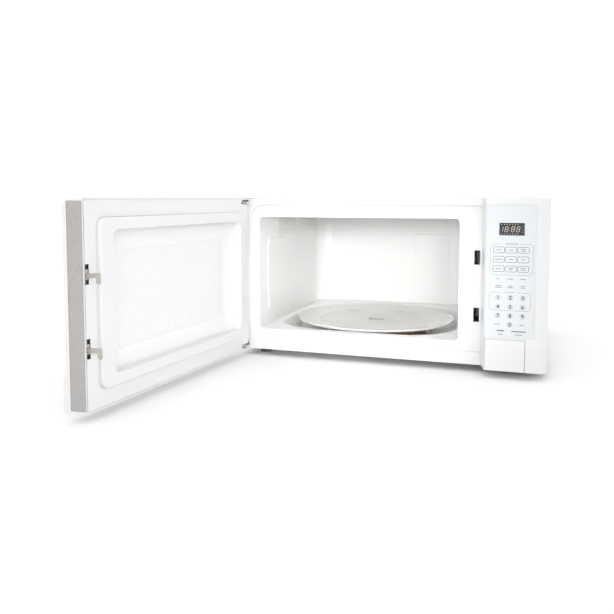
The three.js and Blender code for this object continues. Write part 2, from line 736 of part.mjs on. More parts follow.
function doorEdgeStrip() {
  const { front, inset, lean, thick, low, high } = STRIP;
  const [y0, y1] = [front + 0.5, -3.6];
  const bedAt = (y) => DOOR.rightFront - inset + (lean * (y - front)) / front + GAP;
  return alongZ(
    outline([[bedAt(y0), y0], [bedAt(y0) + thick, y0], [bedAt(y1) + thick, y1], [bedAt(y1), y1]]), low, high,
  );
}

function doorOuterWindow() {
  return alongY(
    roundedRectangle(WINDOW.left - 8, WINDOW.low - 8, WINDOW.right + 8, WINDOW.high + 8, 16),
    FACE.front + FACE.wall + GAP, FACE.front + FACE.wall + GAP + 3, 4,
  );
}

function doorInnerPanel() {
  const [x0, x1, z0, z1] = [DOOR.left + 3, DOOR.rightBack - 3.6, 17.2, 330.8];
  const sheet = block(x0, -3.2, z0, x1, DOOR.back - 0.4, z1);
  const { left, right, low, high, corner } = CHOKE;
  const chokeHole = alongY(
    roundedRectangle(left - GAP, low - GAP, right + GAP, high + GAP, corner), -5, 1, 4,
  );
  const slots = SLOT.lowers.map((z) => {
    return block(HOOK.x - 2.6, -5, z + 1, HOOK.x + HOOK.thick + 1.4, 1, z + 31);
  });
  const armSpaces = [[315.8, 332], [16, 32.2]].map(([a, b]) => block(-5, -5, a, HINGE.x + 10, 5, b));
  return cut(sheet, chokeHole, ...slots, ...armSpaces);
}

function chokeCover() {
  const { left, right, low, high, corner, front } = CHOKE;
  const inner = CHOKE_INNER;
  const wall = 2;
  const ring = (x0, z0, x1, z1, grow, radius) => {
    return roundedRectangle(x0 - grow, z0 - grow, x1 + grow, z1 + grow, radius + grow);
  };
  const outerWall = cut(
    alongY(ring(left, low, right, high, 0, corner), DOOR.back - 2, front, 4),
    alongY(ring(left, low, right, high, -wall, corner), -10, front - wall, 4),
  );
  const innerBlock = alongY(
    ring(inner.left, inner.low, inner.right, inner.high, wall, inner.corner), front - inner.depth, front, 4,
  );
  const hole = alongY(ring(inner.left, inner.low, inner.right, inner.high, 0, inner.corner), -30, 30, 4);
  return cut(join(outerWall, innerBlock), hole);
}

function doorScreen() {
  const { left, right, low, high, corner, depth } = CHOKE_INNER;
  const back = CHOKE.front - depth - GAP;
  const margin = 4;
  return alongY(
    roundedRectangle(left - margin, low - margin, right + margin, high + margin, corner),
    back - SHEET, back, 4,
  );
}

function latchBar() {
  const { x, thick, reach, armRise, armHeight, tip } = HOOK;
  const bar = block(x, -16, SLOT.lowers[0] - 8, x + thick, -7, SLOT.lowers[1] + 46);
  const hooks = SLOT.lowers.map((z) => {
    const low = z + armRise;
    const high = low + armHeight;
    const nose = z + 2.5;
    return alongX(
      outline([
        [-10, low], [reach - tip, low + 2], [reach - tip, nose + 3], [reach - 2, nose], [reach, nose + 3],
        [reach, high - 1], [reach - 3, high + 1.5], [-10, high - 1.5],
      ]),
      x, x + thick,
    );
  });
  const springPeg = barZ(1.4, x + thick / 2, -11.5, SLOT.lowers[1] + 45, SLOT.lowers[1] + 50, 10);
  return join(bar, ...hooks, springPeg);
}

function latchSpring() {
  const turns = 6;
  const low = SLOT.lowers[1] + 47;
  const high = 271;
  const coil = new THREE.CatmullRomCurve3(
    rowOf(turns * 8 + 1, (i) => {
      const angle = (i * 2 * Math.PI) / 8;
      const rise = (i / (turns * 8)) * (high - low);
      return new THREE.Vector3(
        HOOK.x + HOOK.thick / 2 + 2.7 * Math.cos(angle), -11.5 + 2.7 * Math.sin(angle), low + rise,
      );
    }),
  );
  const wire = roundedRectangle(-0.35, -0.35, 0.35, 0.35, 0);
  return new THREE.ExtrudeGeometry(wire, { steps: turns * 8, extrudePath: coil, bevelEnabled: false });
}

// Assembly

const oven = new THREE.Group();

function add(group, name, geometry, material) {
  const mesh = new THREE.Mesh(geometry, material);
  mesh.name = name;
  group.add(mesh);
}

add(oven, "outer_cabinet", outerCabinet(), whitePaint);
add(oven, "base_pan", basePan(), zincSteel);
add(oven, "rear_panel", rearPanel(), zincSteel);
add(oven, "front_plate", frontPlate(), whitePaint);
["front_left", "front_right", "rear_left", "rear_right"].forEach((place, i) => {
  add(oven, `foot_${place}`, foot(footPlaces()[i]), softRubber);
});
for (const [place, at] of Object.entries(REAR_SCREWS)) {
  add(oven, `rear_screw_${place}`, rearScrew(at), zincSteel);
}

add(oven, "cavity_wall_wrap", cavityWallWrap(), cavityPaint);
add(oven, "cavity_ceiling", cavityCeiling(), cavityPaint);
add(oven, "cavity_floor", cavityFloor(), cavityPaint);
add(oven, "waveguide_cover", waveguideCover(), mica);
add(oven, "turntable_tray", turntableTray(), clearGlass);
add(oven, "turntable_coupler", turntableCoupler(), whitePlastic);
add(oven, "turntable_motor", turntableMotor(), zincSteel);
add(oven, "roller_ring", rollerRing(), brownPlastic);
rollerPlaces().forEach((angle, i) => add(oven, `roller_${i + 1}`, roller(angle), whitePlastic));

add(oven, "waveguide", waveguide(), zincSteel);
add(oven, "magnetron", magnetron(), zincSteel);
add(oven, "high_voltage_transformer", highVoltageTransformer(), darkSteel);
add(oven, "high_voltage_capacitor", highVoltageCapacitor(), zincSteel);
add(oven, "high_voltage_diode", highVoltageDiode(), blackPlastic);
add(oven, "fan_shroud", fanShroud(), greyPlastic);
add(oven, "fan_blade", fanBlade(), blackPlastic);
add(oven, "fan_motor", fanMotor(), copper);
add(oven, "noise_filter_board", noiseFilterBoard(), greenBoard);
add(oven, "thermal_cutout", thermalCutout(), blackPlastic);
add(oven, "oven_lamp", ovenLamp(), clearGlass);
add(oven, "lamp_socket", lampSocket(), beigePlastic);
add(oven, "cord_inlet_bush", cordInletBush(), blackPlastic);

add(oven, "interlock_bracket", interlockBracket(), beigePlastic);
add(oven, "upper_door_switch", doorSwitch(SLOT.lowers[1] + 2), blackPlastic);
add(oven, "lower_door_switch", doorSwitch(SLOT.lowers[0] + 8), blackPlastic);
add(oven, "open_lever", openLever(), beigePlastic);
add(oven, "lever_spring", leverSpring(), zincSteel);
add(oven, "door_open_button", doorOpenButton(), whitePlastic);

add(oven, "control_panel_housing", controlPanelHousing(), whitePlastic);
add(oven, "touch_membrane", touchMembrane(), palePlastic);
add(oven, "display_window", displayWindow(), smokedGlass);
add(oven, "control_board", controlBoard(), greenBoard);

for (const side of ["upper", "lower"]) {
  add(oven, `${side}_hinge_bracket`, hingeBracket(side), zincSteel);
  add(oven, `${side}_hinge_pin`, hingePin(side), zincSteel);
}

// The door group turns about the hinge pins: its pieces are placed from there, and it stands open.
const door = new THREE.Group();
door.position.set(HINGE.x, HINGE.y, 0);
door.rotation.z = THREE.MathUtils.degToRad(-HINGE.openAngle);
const doorPieces = {
  door_outer_frame: [doorOuterFrame(), whitePlastic],
  door_edge_strip: [doorEdgeStrip(), greyPlastic],
  door_outer_window: [doorOuterWindow(), smokedGlass],
  door_inner_panel: [doorInnerPanel(), whitePaint],
  choke_cover: [chokeCover(), whitePlastic],
  door_screen: [doorScreen(), whitePaint],
  latch_bar: [latchBar(), beigePlastic],
  latch_spring: [latchSpring(), zincSteel],
};
for (const [name, [geometry, material]] of Object.entries(doorPieces)) {
  add(door, name, geometry.translate(-HINGE.x, -HINGE.y, 0), material);
}
oven.add(door);

// The part's origin is the middle of the floor area that the oven takes up with its door open.
const reach = new THREE.Box3().setFromObject(oven, true);
const middle = reach.getCenter(new THREE.Vector3());
oven.position.set(-middle.x, -middle.y, -reach.min.z);

export default oven;
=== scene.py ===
from math import pi, radians, sin

import bpy
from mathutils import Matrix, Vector


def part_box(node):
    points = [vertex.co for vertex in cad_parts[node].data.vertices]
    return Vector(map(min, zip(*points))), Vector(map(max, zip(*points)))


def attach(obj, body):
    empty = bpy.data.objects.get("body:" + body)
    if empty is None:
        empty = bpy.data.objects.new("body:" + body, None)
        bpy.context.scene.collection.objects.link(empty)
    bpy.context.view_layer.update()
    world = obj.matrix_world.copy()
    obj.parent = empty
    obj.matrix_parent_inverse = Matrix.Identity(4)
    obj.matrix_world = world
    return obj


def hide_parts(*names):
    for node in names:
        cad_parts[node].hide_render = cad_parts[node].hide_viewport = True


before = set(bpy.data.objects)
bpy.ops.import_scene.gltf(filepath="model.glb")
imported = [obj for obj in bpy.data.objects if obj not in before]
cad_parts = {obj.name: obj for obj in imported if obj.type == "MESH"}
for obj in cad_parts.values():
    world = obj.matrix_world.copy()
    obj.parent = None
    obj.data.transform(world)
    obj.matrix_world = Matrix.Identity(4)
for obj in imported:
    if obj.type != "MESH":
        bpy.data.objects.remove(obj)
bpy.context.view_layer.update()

# The studio: a camera a little above the oven's top, a pale floor and broad soft light from all round,
# so that the white oven stands in white and only its own turns and gaps are shaded.
cabinet_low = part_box("outer_cabinet")[0]
bpy.ops.object.select_all(action="DESELECT")
bpy.ops.object.camera_add(
    location=(cabinet_low.x + 0.5492, cabinet_low.y - 1.3, 0.3324),
    rotation=(radians(90 - 4.21), 0, radians(18.33)),
)
camera = bpy.context.object
camera.data.sensor_width = 36
camera.data.lens = 38.97
camera.data.shift_x = 0.0201
camera.data.shift_y = -0.0976
bpy.context.scene.camera = camera
bpy.context.scene.view_settings.view_transform = "Standard"

bpy.ops.mesh.primitive_plane_add(size=24)
floor = bpy.context.object
floor.name = "studio_floor"

world = bpy.data.worlds.new("white_room")
world.use_nodes = True
world.node_tree.nodes["Background"].inputs["Color"].default_value = (1, 1, 1, 1)
world.node_tree.nodes["Background"].inputs["Strength"].default_value = 1.1
bpy.context.scene.world = world


def soft_box(name, place, aim, size, power, spread=180):
    """A square soft light that points from its place to its aim, kept there by a narrow spread in degrees."""
    bpy.ops.object.light_add(type="AREA", location=place)
    light = bpy.context.object
    light.name = name
    light.data.size = size
    light.data.energy = power
    light.data.spread = radians(spread)
    light.rotation_euler = (Vector(aim) - Vector(place)).to_track_quat("-Z", "Y").to_euler()


soft_box("front_light", (0.6, -2.6, 1.5), (0, 0, 0.1), 2.2, 6)
soft_box("top_light", (-0.2, -0.1, 2.8), (0, 0, 0), 2.4, 6)
soft_box("cavity_light_right", (0.5, -2.0, 0.45), (-0.19, 0.25, 0.12), 0.35, 0.38, 16)
soft_box("cavity_light_left", (-0.12, -2.1, 0.4), (0.1, 0.25, 0.11), 0.3, 0.11, 12)
soft_box("door_light", (1.2, -1.6, 0.5), (-0.3, -0.38, 0.17), 0.3, 0.06, 18)


# Finishes. Every surface of the oven has a little cloud in its colour, a grain, a touch of wear along
# its edges and dust where it faces up. These groups hold those effects, and each finish sets its own values.
def node(tree, kind, inputs, **settings):
    """Adds a shader node or a placed group. Each input is a socket to join to or a value to set."""
    made = tree.nodes.new("ShaderNode" + kind)
    for name, value in settings.items():
        setattr(made, name, value)
    for name, value in inputs.items():
        if isinstance(value, bpy.types.NodeSocket):
            tree.links.new(value, made.inputs[name])
        else:
            made.inputs[name].default_value = value
    return made


def effect(name, inputs, outputs):
    """Starts a shader node group with named number ("Float") and colour ("Color") sockets."""
    tree = bpy.data.node_groups.new(name, "ShaderNodeTree")
    for way, sockets in (("INPUT", inputs), ("OUTPUT", outputs)):
        for socket, kind in sockets.items():
            tree.interface.new_socket(socket, in_out=way, socket_type="NodeSocket" + kind)
    return tree, tree.nodes.new("NodeGroupInput").outputs, tree.nodes.new("NodeGroupOutput").inputs


def math(tree, operation, first, second):
    return node(tree, "Math", {0: first, 1: second}, operation=operation).outputs[0]


def blend_colours(tree, mask, first, second):
    return node(tree, "Mix", {0: mask, 6: first, 7: second}, data_type="RGBA").outputs[2]


def spread_out(tree, value, low, high, to_low=0.0, to_high=1.0):
    """Stretches the stretch from low to high of a value over a new one."""
    stretched = {"Value": value, "From Min": low, "From Max": high, "To Min": to_low, "To Max": to_high}
    return node(tree, "MapRange", stretched).outputs["Result"]


def object_noise(tree, scale, detail=2.0):
    place = node(tree, "TexCoord", {}).outputs["Object"]
    return node(tree, "TexNoise", {"Vector": place, "Scale": scale, "Detail": detail}).outputs["Fac"]


grain, given, made = effect(
    "grain",
    {"Colour": "Color", "Cloud Colour": "Color", "Cloud Scale": "Float", "Grain Scale": "Float",
     "Roughness": "Float", "Spread": "Float"},
    {"Colour": "Color", "Roughness": "Float", "Height": "Float"},
)
cloud = object_noise(grain, given["Cloud Scale"], 3.0)
fine = object_noise(grain, given["Grain Scale"])
clouded = blend_colours(grain, spread_out(grain, cloud, 0.35, 0.65), given["Colour"], given["Cloud Colour"])
both = math(grain, "SUBTRACT", math(grain, "ADD", fine, cloud), 1.0)
unevenness = math(grain, "MULTIPLY", both, given["Spread"])
grain.links.new(clouded, made["Colour"])
grain.links.new(math(grain, "ADD", given["Roughness"], unevenness), made["Roughness"])
grain.links.new(fine, made["Height"])


def laid_over(name, second, mask):
    """A group that lays a second colour over the first by a mask and an amount."""
    sockets = {"Colour": "Color", second: "Color", "Amount": "Float"}
    tree, given, made = effect(name, sockets, {"Colour": "Color"})
    amount = math(tree, "MULTIPLY", mask(tree), given["Amount"])
    tree.links.new(blend_colours(tree, amount, given["Colour"], given[second]), made["Colour"])
    return tree


def rubbed_edges(tree):
    bend = node(tree, "NewGeometry", {}).outputs["Pointiness"]
    return math(tree, "MULTIPLY", spread_out(tree, bend, 0.52, 0.62), object_noise(tree, 240.0))


def lying_dust(tree):
    facing = node(tree, "SeparateXYZ", {0: node(tree, "NewGeometry", {}).outputs["Normal"]}).outputs["Z"]
    patches = spread_out(tree, object_noise(tree, 30.0, 4.0), 0.3, 0.8)
    return math(tree, "MULTIPLY", spread_out(tree, facing, 0.6, 1.0), patches)


edge_wear = laid_over("edge_wear", "Worn Colour", rubbed_edges)
dust = laid_over("dust", "Dust Colour", lying_dust)


def place_group(tree, group, inputs):
    return node(tree, "Group", inputs, node_tree=group).outputs


def finish(
    name, colour, cloud_colour, cloud=6.0, grained=700.0, roughness=0.4, spread=0.06, bump=0.04,
    worn=(0.8, 0.8, 0.8), wear=0.3, dusty=0.1, metallic=0.0, coat=0.0, pattern=None, **constants,


):
    """A finish with its grain, edge wear and dust. A pattern is a group that gives a Colour and a Height."""
    material = bpy.data.materials.new(name)
    material.use_nodes = True
    tree = material.node_tree
    shader = tree.nodes["Principled BSDF"]
    base = (*colour, 1)
    heights = []
    if pattern:
        group, values = pattern
        laid = place_group(tree, group, {"Colour": base, **values})
        base = laid["Colour"]
        heights.append((laid["Height"], 0.3))
    grains = place_group(tree, grain, {
        "Colour": base, "Cloud Colour": (*cloud_colour, 1), "Cloud Scale": cloud, "Grain Scale": grained,
        "Roughness": roughness, "Spread": spread,
    })
    if pattern:
        half = blend_colours(tree, 0.5, base, grains["Colour"])
    else:
        half = grains["Colour"]
    rubbed = place_group(tree, edge_wear, {"Colour": half, "Worn Colour": (*worn, 1), "Amount": wear})
    dusted = place_group(tree, dust, {
        "Colour": rubbed["Colour"], "Dust Colour": (0.62, 0.6, 0.57, 1), "Amount": dusty,
    })
    tree.links.new(dusted["Colour"], shader.inputs["Base Color"])
    tree.links.new(grains["Roughness"], shader.inputs["Roughness"])
    heights.append((grains["Height"], bump))
    normal = None
    for height, strength in heights:
        raised = node(tree, "Bump", {"Height": height, "Strength": strength, "Distance": 0.0004})
        if normal:
            tree.links.new(normal, raised.inputs["Normal"])
        normal = raised.outputs["Normal"]
    tree.links.new(normal, shader.inputs["Normal"])
    shader.inputs["Metallic"].default_value = metallic
    shader.inputs["Coat Weight"].default_value = coat
    for socket, value in constants.items():
        shader.inputs[socket].default_value = value
    return material


floor.data.materials.append(finish(
    "studio_paper", (0.93, 0.93, 0.93), (0.94, 0.94, 0.94), grained=60, roughness=0.8, spread=0.02,
    bump=0.0, wear=0.0, dusty=0.0,
))


# Base pan and feet. The pan is zinc-coated steel, pressed as a shallow tray and vented under the machinery.
# Four moulded rubber feet push up into its holes.
def two_tone(name, second, pattern):
    """A group that lays a second colour over the first by a pattern's mask and gives its height."""
    sockets = {"Colour": "Color", second: "Color"}
    tree, given, made = effect(name, sockets, {"Colour": "Color", "Height": "Float"})
    mask, height = pattern(tree)
    tree.links.new(blend_colours(tree, mask, given["Colour"], given[second]), made["Colour"])
    tree.links.new(height, made["Height"])
    return tree


def textured(tree, kind, inputs, **settings):
    """The outputs of a texture that is fixed to the piece."""
    place = node(tree, "TexCoord", {}).outputs["Object"]
    return node(tree, kind, {"Vector": place, **inputs}, **settings).outputs


def crystals(tree):
    cells = textured(tree, "TexVoronoi", {"Scale": 160.0})
    return node(tree, "SeparateColor", {0: cells["Color"]}).outputs[0], cells["Distance"]


spangle = two_tone("spangle", "Crystal Colour", crystals)


def galvanised(name, colour=(0.6, 0.61, 0.61)):
    """Zinc-coated sheet with its faint crystals."""
    crystal = tuple(0.86 * value for value in colour)
    return finish(
        name, colour, crystal, cloud=9, grained=500, roughness=0.42, spread=0.1, wear=0.5, dusty=0.25,
        metallic=0.85, pattern=(spangle, {"Crystal Colour": (*crystal, 1)}),
    )


def dress(material, *nodes):
    """Gives a material to pieces that keep the shape they have."""
    for name in nodes:
        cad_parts[name].data.materials.clear()
        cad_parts[name].data.materials.append(material)


dress(galvanised("zinc_coated_pan"), "base_pan")


def at(x, y, z):
    """The place that many millimetres right of, behind and above the cabinet's left front lower corner."""
    return Vector((cabinet_low.x + x / 1000, cabinet_low.y + y / 1000, z / 1000))


def span(name):
    """A frame piece's lowest and highest corners in those millimetres."""
    return [tuple((corner - at(0, 0, 0)) * 1000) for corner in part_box(name)]


def alone(piece):
    """Leaves object mode with only this piece selected."""
    if bpy.context.object and bpy.context.object.mode != "OBJECT":
        bpy.ops.object.mode_set(mode="OBJECT")
    bpy.ops.object.select_all(action="DESELECT")
    if piece:
        piece.select_set(True)
        bpy.context.view_layer.objects.active = piece


def opened(piece, kind):
    """Goes into edit mode with all of a piece's "VERT" or "FACE" parts selected."""
    alone(piece)
    bpy.ops.object.mode_set(mode="EDIT")
    bpy.ops.mesh.select_mode(type=kind)
    bpy.ops.mesh.select_all(action="SELECT")


def pulled(move):
    """Extrudes what is selected by metres."""
    bpy.ops.mesh.extrude_region_move(TRANSFORM_OT_translate={"value": move})


def drawn(name, points, closed=False):
    """A chain of edges through points in millimetres, drawn by pulling one vertex along."""
    alone(None)
    bpy.ops.mesh.primitive_plane_add(size=0.01, location=at(*points[0]))
    piece = bpy.context.object
    piece.name = name
    bpy.ops.object.transform_apply()
    opened(piece, "VERT")
    bpy.ops.mesh.merge(type="CENTER")
    for before, after in zip(points, points[1:]):
        pulled(at(*after) - at(*before))
    bpy.ops.mesh.select_all(action="SELECT")
    if closed:
        bpy.ops.mesh.edge_face_add()
    return piece


def turned(name, centre, outline, axis="z", steps=48, corner=0.0):
    """A piece turned about a line along an axis through its centre, from (radius, distance along it) pairs
    that start and end on that line or close on themselves."""
    along = Vector((axis == "x", axis == "y", axis == "z"))
    outwards = Vector((0, 0, 1)) if axis == "x" else Vector((1, 0, 0))
    points = [Vector(centre) + radius * outwards + distance * along for radius, distance in outline]
    piece = drawn(name, points)
    if corner:
        bpy.ops.mesh.bevel(offset=corner / 1000, segments=3, affect="VERTICES")
        bpy.ops.mesh.select_all(action="SELECT")
    bpy.ops.mesh.spin(steps=steps, angle=2 * pi, center=at(*centre), axis=along)
    return closed_up(piece)


def closed_up(piece):
    """Merges doubled points and turns every face outwards."""
    opened(piece, "VERT")
    bpy.ops.mesh.remove_doubles(threshold=1e-6)
    bpy.ops.mesh.normals_make_consistent(inside=False)
    bpy.ops.object.mode_set(mode="OBJECT")
    return piece


def copied(piece, name, move=(0, 0, 0)):
    """A copy with its own mesh, moved by millimetres."""
    alone(piece)
    bpy.ops.object.duplicate(linked=False)
    twin = bpy.context.object
    twin.name = name
    bpy.ops.transform.translate(value=Vector(move) / 1000)
    bpy.ops.object.transform_apply()
    return twin


def apply(piece, kind, **settings):
    """Adds a modifier with its settings and applies it."""
    alone(piece)
    modifier = piece.modifiers.new(kind.lower(), kind)
    for name, value in settings.items():
        setattr(modifier, name, value)
    bpy.ops.object.modifier_apply(modifier=modifier.name)
    return piece


def bevelled(piece, width, segments, angle):
    """Rounds every edge sharper than an angle in degrees by a width in millimetres."""
    limit = radians(angle)
    apply(piece, "BEVEL", width=width / 1000, segments=segments, limit_method="ANGLE", angle_limit=limit)


def soften(piece, width=0.0, segments=2, smooth=35):
    """Rounds the sharp edges, where a width is given, and shades the flats flat."""
    if width:
        bevelled(piece, width, segments, 30)
    alone(piece)
    bpy.ops.object.shade_smooth_by_angle(angle=radians(smooth))
    return apply(piece, "WEIGHTED_NORMAL", keep_sharp=True)


def fit(piece, material, body, slot, *replaced):
    """Gives a piece its material and mounts it on its body in place of the frame's plain pieces."""
    piece.data.materials.clear()
    piece.data.materials.append(material)
    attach(piece, body)
    if replaced:
        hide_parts(*replaced)
    return piece


foot_rubber = finish(
    "foot_rubber", (0.045, 0.045, 0.048), (0.07, 0.07, 0.072), cloud=60, grained=1400, roughness=0.72,
    spread=0.1, bump=0.25, worn=(0.16, 0.16, 0.16), wear=0.6, dusty=0.4,
)
foot_low, foot_high = span("foot_front_left")
foot_x, foot_y = [(foot_low[axis] + foot_high[axis]) / 2 for axis in (0, 1)]
foot_outline = [
    (0, 0.8), (8, 0.8), (8.6, 0), (11.4, 0), (12.9, 1.6), (11.9, 5), (12.1, 6.2), (10.9, 11.6), (3, 11.6),
    (3.1, 14.6), (2.2, 15.1), (0, 15.1),
]
foot = turned("rubber_foot", (foot_x, foot_y, 0), foot_outline, steps=40, corner=0.35)
soften(foot)
for corner in ("front_left", "front_right", "rear_left", "rear_right"):
    low, high = span("foot_" + corner)
    this_foot = copied(foot, "rubber_foot_" + corner, (low[0] - foot_low[0], low[1] - foot_low[1], 0))
    fit(this_foot, foot_rubber, "cabinet", "foot_rubber", "foot_" + corner)
bpy.data.objects.remove(foot)


# Outer cabinet. One white enamelled sheet is bent over both sides and the top, with pressed air slots low on
# the right side and high on the left. Its rear edge takes the screws of the rear panel.
def white_enamel(name, colour=(0.76, 0.76, 0.757), grained=900):
    """Baked enamel with a faint orange-peel."""
    return finish(
        name, colour, tuple(0.985 * value for value in colour), cloud=5, grained=grained, roughness=0.3,
        spread=0.05, bump=0.06, worn=(0.75, 0.75, 0.75), wear=0.25, dusty=0.05, coat=0.25,
        **{"Coat Roughness": 0.12},
    )


def select(piece, kind, **where):
    """Selects, in edit mode, the "VERT", "EDGE" or "FACE" parts that lie wholly at the given x, y and z.
    Each is a number or a (low, high) pair in millimetres."""
    alone(piece)
    bpy.ops.object.mode_set(mode="EDIT")
    bpy.ops.mesh.select_mode(type=kind)
    bpy.ops.mesh.select_all(action="DESELECT")
    bpy.ops.object.mode_set(mode="OBJECT")
    nearness = 0.03
    start = at(0, 0, 0)
    limits = []
    for axis, value in where.items():
        low, high = value if isinstance(value, tuple) else (value - nearness, value + nearness)
        limits.append(("xyz".index(axis), low, high))
    inside = []
    for vertex in piece.data.vertices:
        place = (vertex.co - start) * 1000
        inside.append(all(low <= place[axis] <= high for axis, low, high in limits))
    parts = {"VERT": piece.data.vertices, "EDGE": piece.data.edges, "FACE": piece.data.polygons}[kind]
    for part in parts:
        corners = [part.index] if kind == "VERT" else part.vertices
        part.select = all(inside[corner] for corner in corners)
    bpy.ops.object.mode_set(mode="EDIT")


def cut_away(piece, kind, **where):
    """Deletes the parts at a place."""
    select(piece, kind, **where)
    bpy.ops.mesh.delete(type=kind)


def block(name, low, high):
    """A block between two corners in millimetres."""
    alone(None)
    bpy.ops.mesh.primitive_cube_add(size=1, location=(at(*low) + at(*high)) / 2, scale=at(*high) - at(*low))
    piece = bpy.context.object
    piece.name = name
    bpy.ops.object.transform_apply()
    return piece


def round_edges(piece, width, segments, **where):
    """Rounds the edges at a place by a width in millimetres."""
    select(piece, "EDGE", **where)
    bpy.ops.mesh.bevel(offset=width / 1000, segments=segments, affect="EDGES")
    bpy.ops.object.mode_set(mode="OBJECT")


def drag(piece, move, **where):
    """Moves the points at a place by millimetres."""
    select(piece, "VERT", **where)
    bpy.ops.transform.translate(value=Vector(move) / 1000)
    bpy.ops.object.mode_set(mode="OBJECT")


def panel(name, low, high, radii, segments=8):
    """An upright rounded plate between two corners. The radii are for its corners: low left, low right,
    high right and high left, or one for all."""
    alone(None)
    radii = radii if isinstance(radii, tuple) else (radii,) * 4
    (x0, y0, z0), (x1, y1, z1) = low, high
    bpy.ops.mesh.primitive_plane_add(
        size=1, location=at((x0 + x1) / 2, y0, (z0 + z1) / 2), rotation=(pi / 2, 0, 0),
    )
    piece = bpy.context.object
    piece.name = name
    piece.scale = ((x1 - x0) / 1000, (z1 - z0) / 1000, 1)
    bpy.ops.object.transform_apply()
    for (x, z), radius in zip(((x0, z0), (x1, z0), (x1, z1), (x0, z1)), radii):
        if radius:
            select(piece, "VERT", x=x, z=z)
            bpy.ops.mesh.bevel(offset=radius / 1000, segments=segments, affect="VERTICES")
    opened(piece, "FACE")
    pulled((0, (y1 - y0) / 1000, 0))
    return closed_up(piece)


def reach(outline, grow, front, back):
    """The two corners of an outline's left, right, low and high, grown all round by millimetres."""
    low = (outline["left"] - grow, front, outline["low"] - grow)
    high = (outline["right"] + grow, back, outline["high"] + grow)
    return low, high


def plate(name, outline, grow, front, back, radii, segments=8):
    """An upright rounded plate on a grown outline."""
    return panel(name, *reach(outline, grow, front, back), radii, segments)


def repeated(piece, count, step):
    """Repeats a piece by a step in millimetres."""
    return apply(
        piece, "ARRAY", count=count, use_relative_offset=False, use_constant_offset=True,
        constant_offset_displace=Vector(step) / 1000,
    )


def shaped_by(piece, operation, *tools):
    """Cuts tools out of a piece ("DIFFERENCE") or joins them on ("UNION"), and takes the tools away."""
    for tool in tools:
        apply(piece, "BOOLEAN", operation=operation, solver="EXACT", object=tool)
        bpy.data.objects.remove(tool)
    return piece


def swung(piece, angle, centre, axis="Z"):
    """Turns a piece by degrees about an upright line, or one along another axis, through a place."""
    alone(piece)
    bpy.ops.transform.rotate(value=radians(angle), orient_axis=axis, center_override=at(*centre))
    bpy.ops.object.transform_apply()
    return piece


CABINET_SHEET = 0.8
SIDE_SLOT = {"length": 58, "height": 3, "gap": 8, "pitch": 9}
(left, front, bottom), (right, back, top) = span("outer_cabinet")
wrapper = block("cabinet_wrapper", (left, front, bottom), (right, back, top))
for x in (left, right):
    round_edges(wrapper, 8, 10, x=x, z=top)
for where in ({"z": bottom}, {"y": front}, {"y": back}):
    cut_away(wrapper, "FACE", **where)
apply(wrapper, "SOLIDIFY", thickness=CABINET_SHEET / 1000, offset=-1)
for x, y, z, rows, columns in ((right, 330, 70, 8, 2), (left, 350, 230, 6, 1)):
    length, height = SIDE_SLOT["length"], SIDE_SLOT["height"]
    slot_tool = panel("slot_tool", (x, y - 4, z), (x + length, y + 4, z + height), height / 2 - 0.05, 4)
    swung(slot_tool, 90, (x, y, z))
    low = min((point.co - at(x, y, z)).y * 1000 for point in slot_tool.data.vertices)
    drag(slot_tool, (0, -low, 0))
    repeated(slot_tool, rows, (0, 0, SIDE_SLOT["pitch"]))
    if columns > 1:
        repeated(slot_tool, columns, (0, length + SIDE_SLOT["gap"], 0))
    shaped_by(wrapper, "DIFFERENCE", slot_tool)
soften(wrapper, 0.25)
fit(wrapper, white_enamel("wrapper_enamel"), "cabinet", "white_paint", "outer_cabinet")


# Rear panel. A zinc-coated sheet closes the back, with hooded louvres for the cavity's steam and a slotted
# grille for the fan. Three plated screws and a rubber bush for the mains lead go through it.
LOUVRE = {"left": 60, "right": 150, "low": 220, "high": 223.5, "pitch": 10, "rows": 8, "column": 110}
GRILLE = {"left": 485, "right": 575, "low": 84, "high": 88, "pitch": 11, "rows": 7}
(left, front, bottom), (right, back, top) = span("rear_panel")
rear = panel("back_sheet", (left, front, bottom), (right, back, top), (0, 0, 7, 7))


def slots(name, field):
    """A column of round-ended slots through the back sheet."""
    radius = (field["high"] - field["low"]) / 2 - 0.05
    slot = plate(name, field, 0, front - 2, back + 2, radius, 4)
    return repeated(slot, field["rows"], (0, 0, field["pitch"]))


louvre_tool = repeated(slots("louvre_tool", LOUVRE), 2, (LOUVRE["column"], 0, 0))
grille_tool = slots("grille_tool", GRILLE)
bush_low, bush_high = span("cord_inlet_bush")
bush_x, bush_z = (bush_low[0] + bush_high[0]) / 2, (bush_low[2] + bush_high[2]) / 2
bush_tool = panel(
    "bush_tool", (bush_x - 7.4, front - 2, bush_z - 7.4), (bush_x + 7.4, back + 2, bush_z + 7.4), 7.3,
)
shaped_by(rear, "DIFFERENCE", louvre_tool, grille_tool, bush_tool)
soften(rear, 0.2)
fit(rear, galvanised("zinc_coated_back"), "cabinet", "galvanised_steel", "rear_panel")

hood = block(
    "louvre_hoods", (LOUVRE["left"] + 0.5, back - 0.1, LOUVRE["low"] + 2.6),
    (LOUVRE["right"] - 0.5, back + 1.9, LOUVRE["low"] + 6.6),
)
drag(hood, (0, -1.7, 0), y=back + 1.9, z=LOUVRE["low"] + 6.6)
round_edges(hood, 0.8, 4, y=back + 1.9)
repeated(repeated(hood, LOUVRE["rows"], (0, 0, LOUVRE["pitch"])), 2, (LOUVRE["column"], 0, 0))
soften(hood, 0.25)
fit(hood, bpy.data.materials["zinc_coated_back"], "cabinet", "galvanised_steel")

plated = finish(
    "bright_zinc_plate", (0.68, 0.69, 0.68), (0.6, 0.61, 0.6), cloud=80, grained=1500, roughness=0.28,
    spread=0.12, bump=0.1, worn=(0.85, 0.85, 0.84), wear=0.6, metallic=1.0,
)

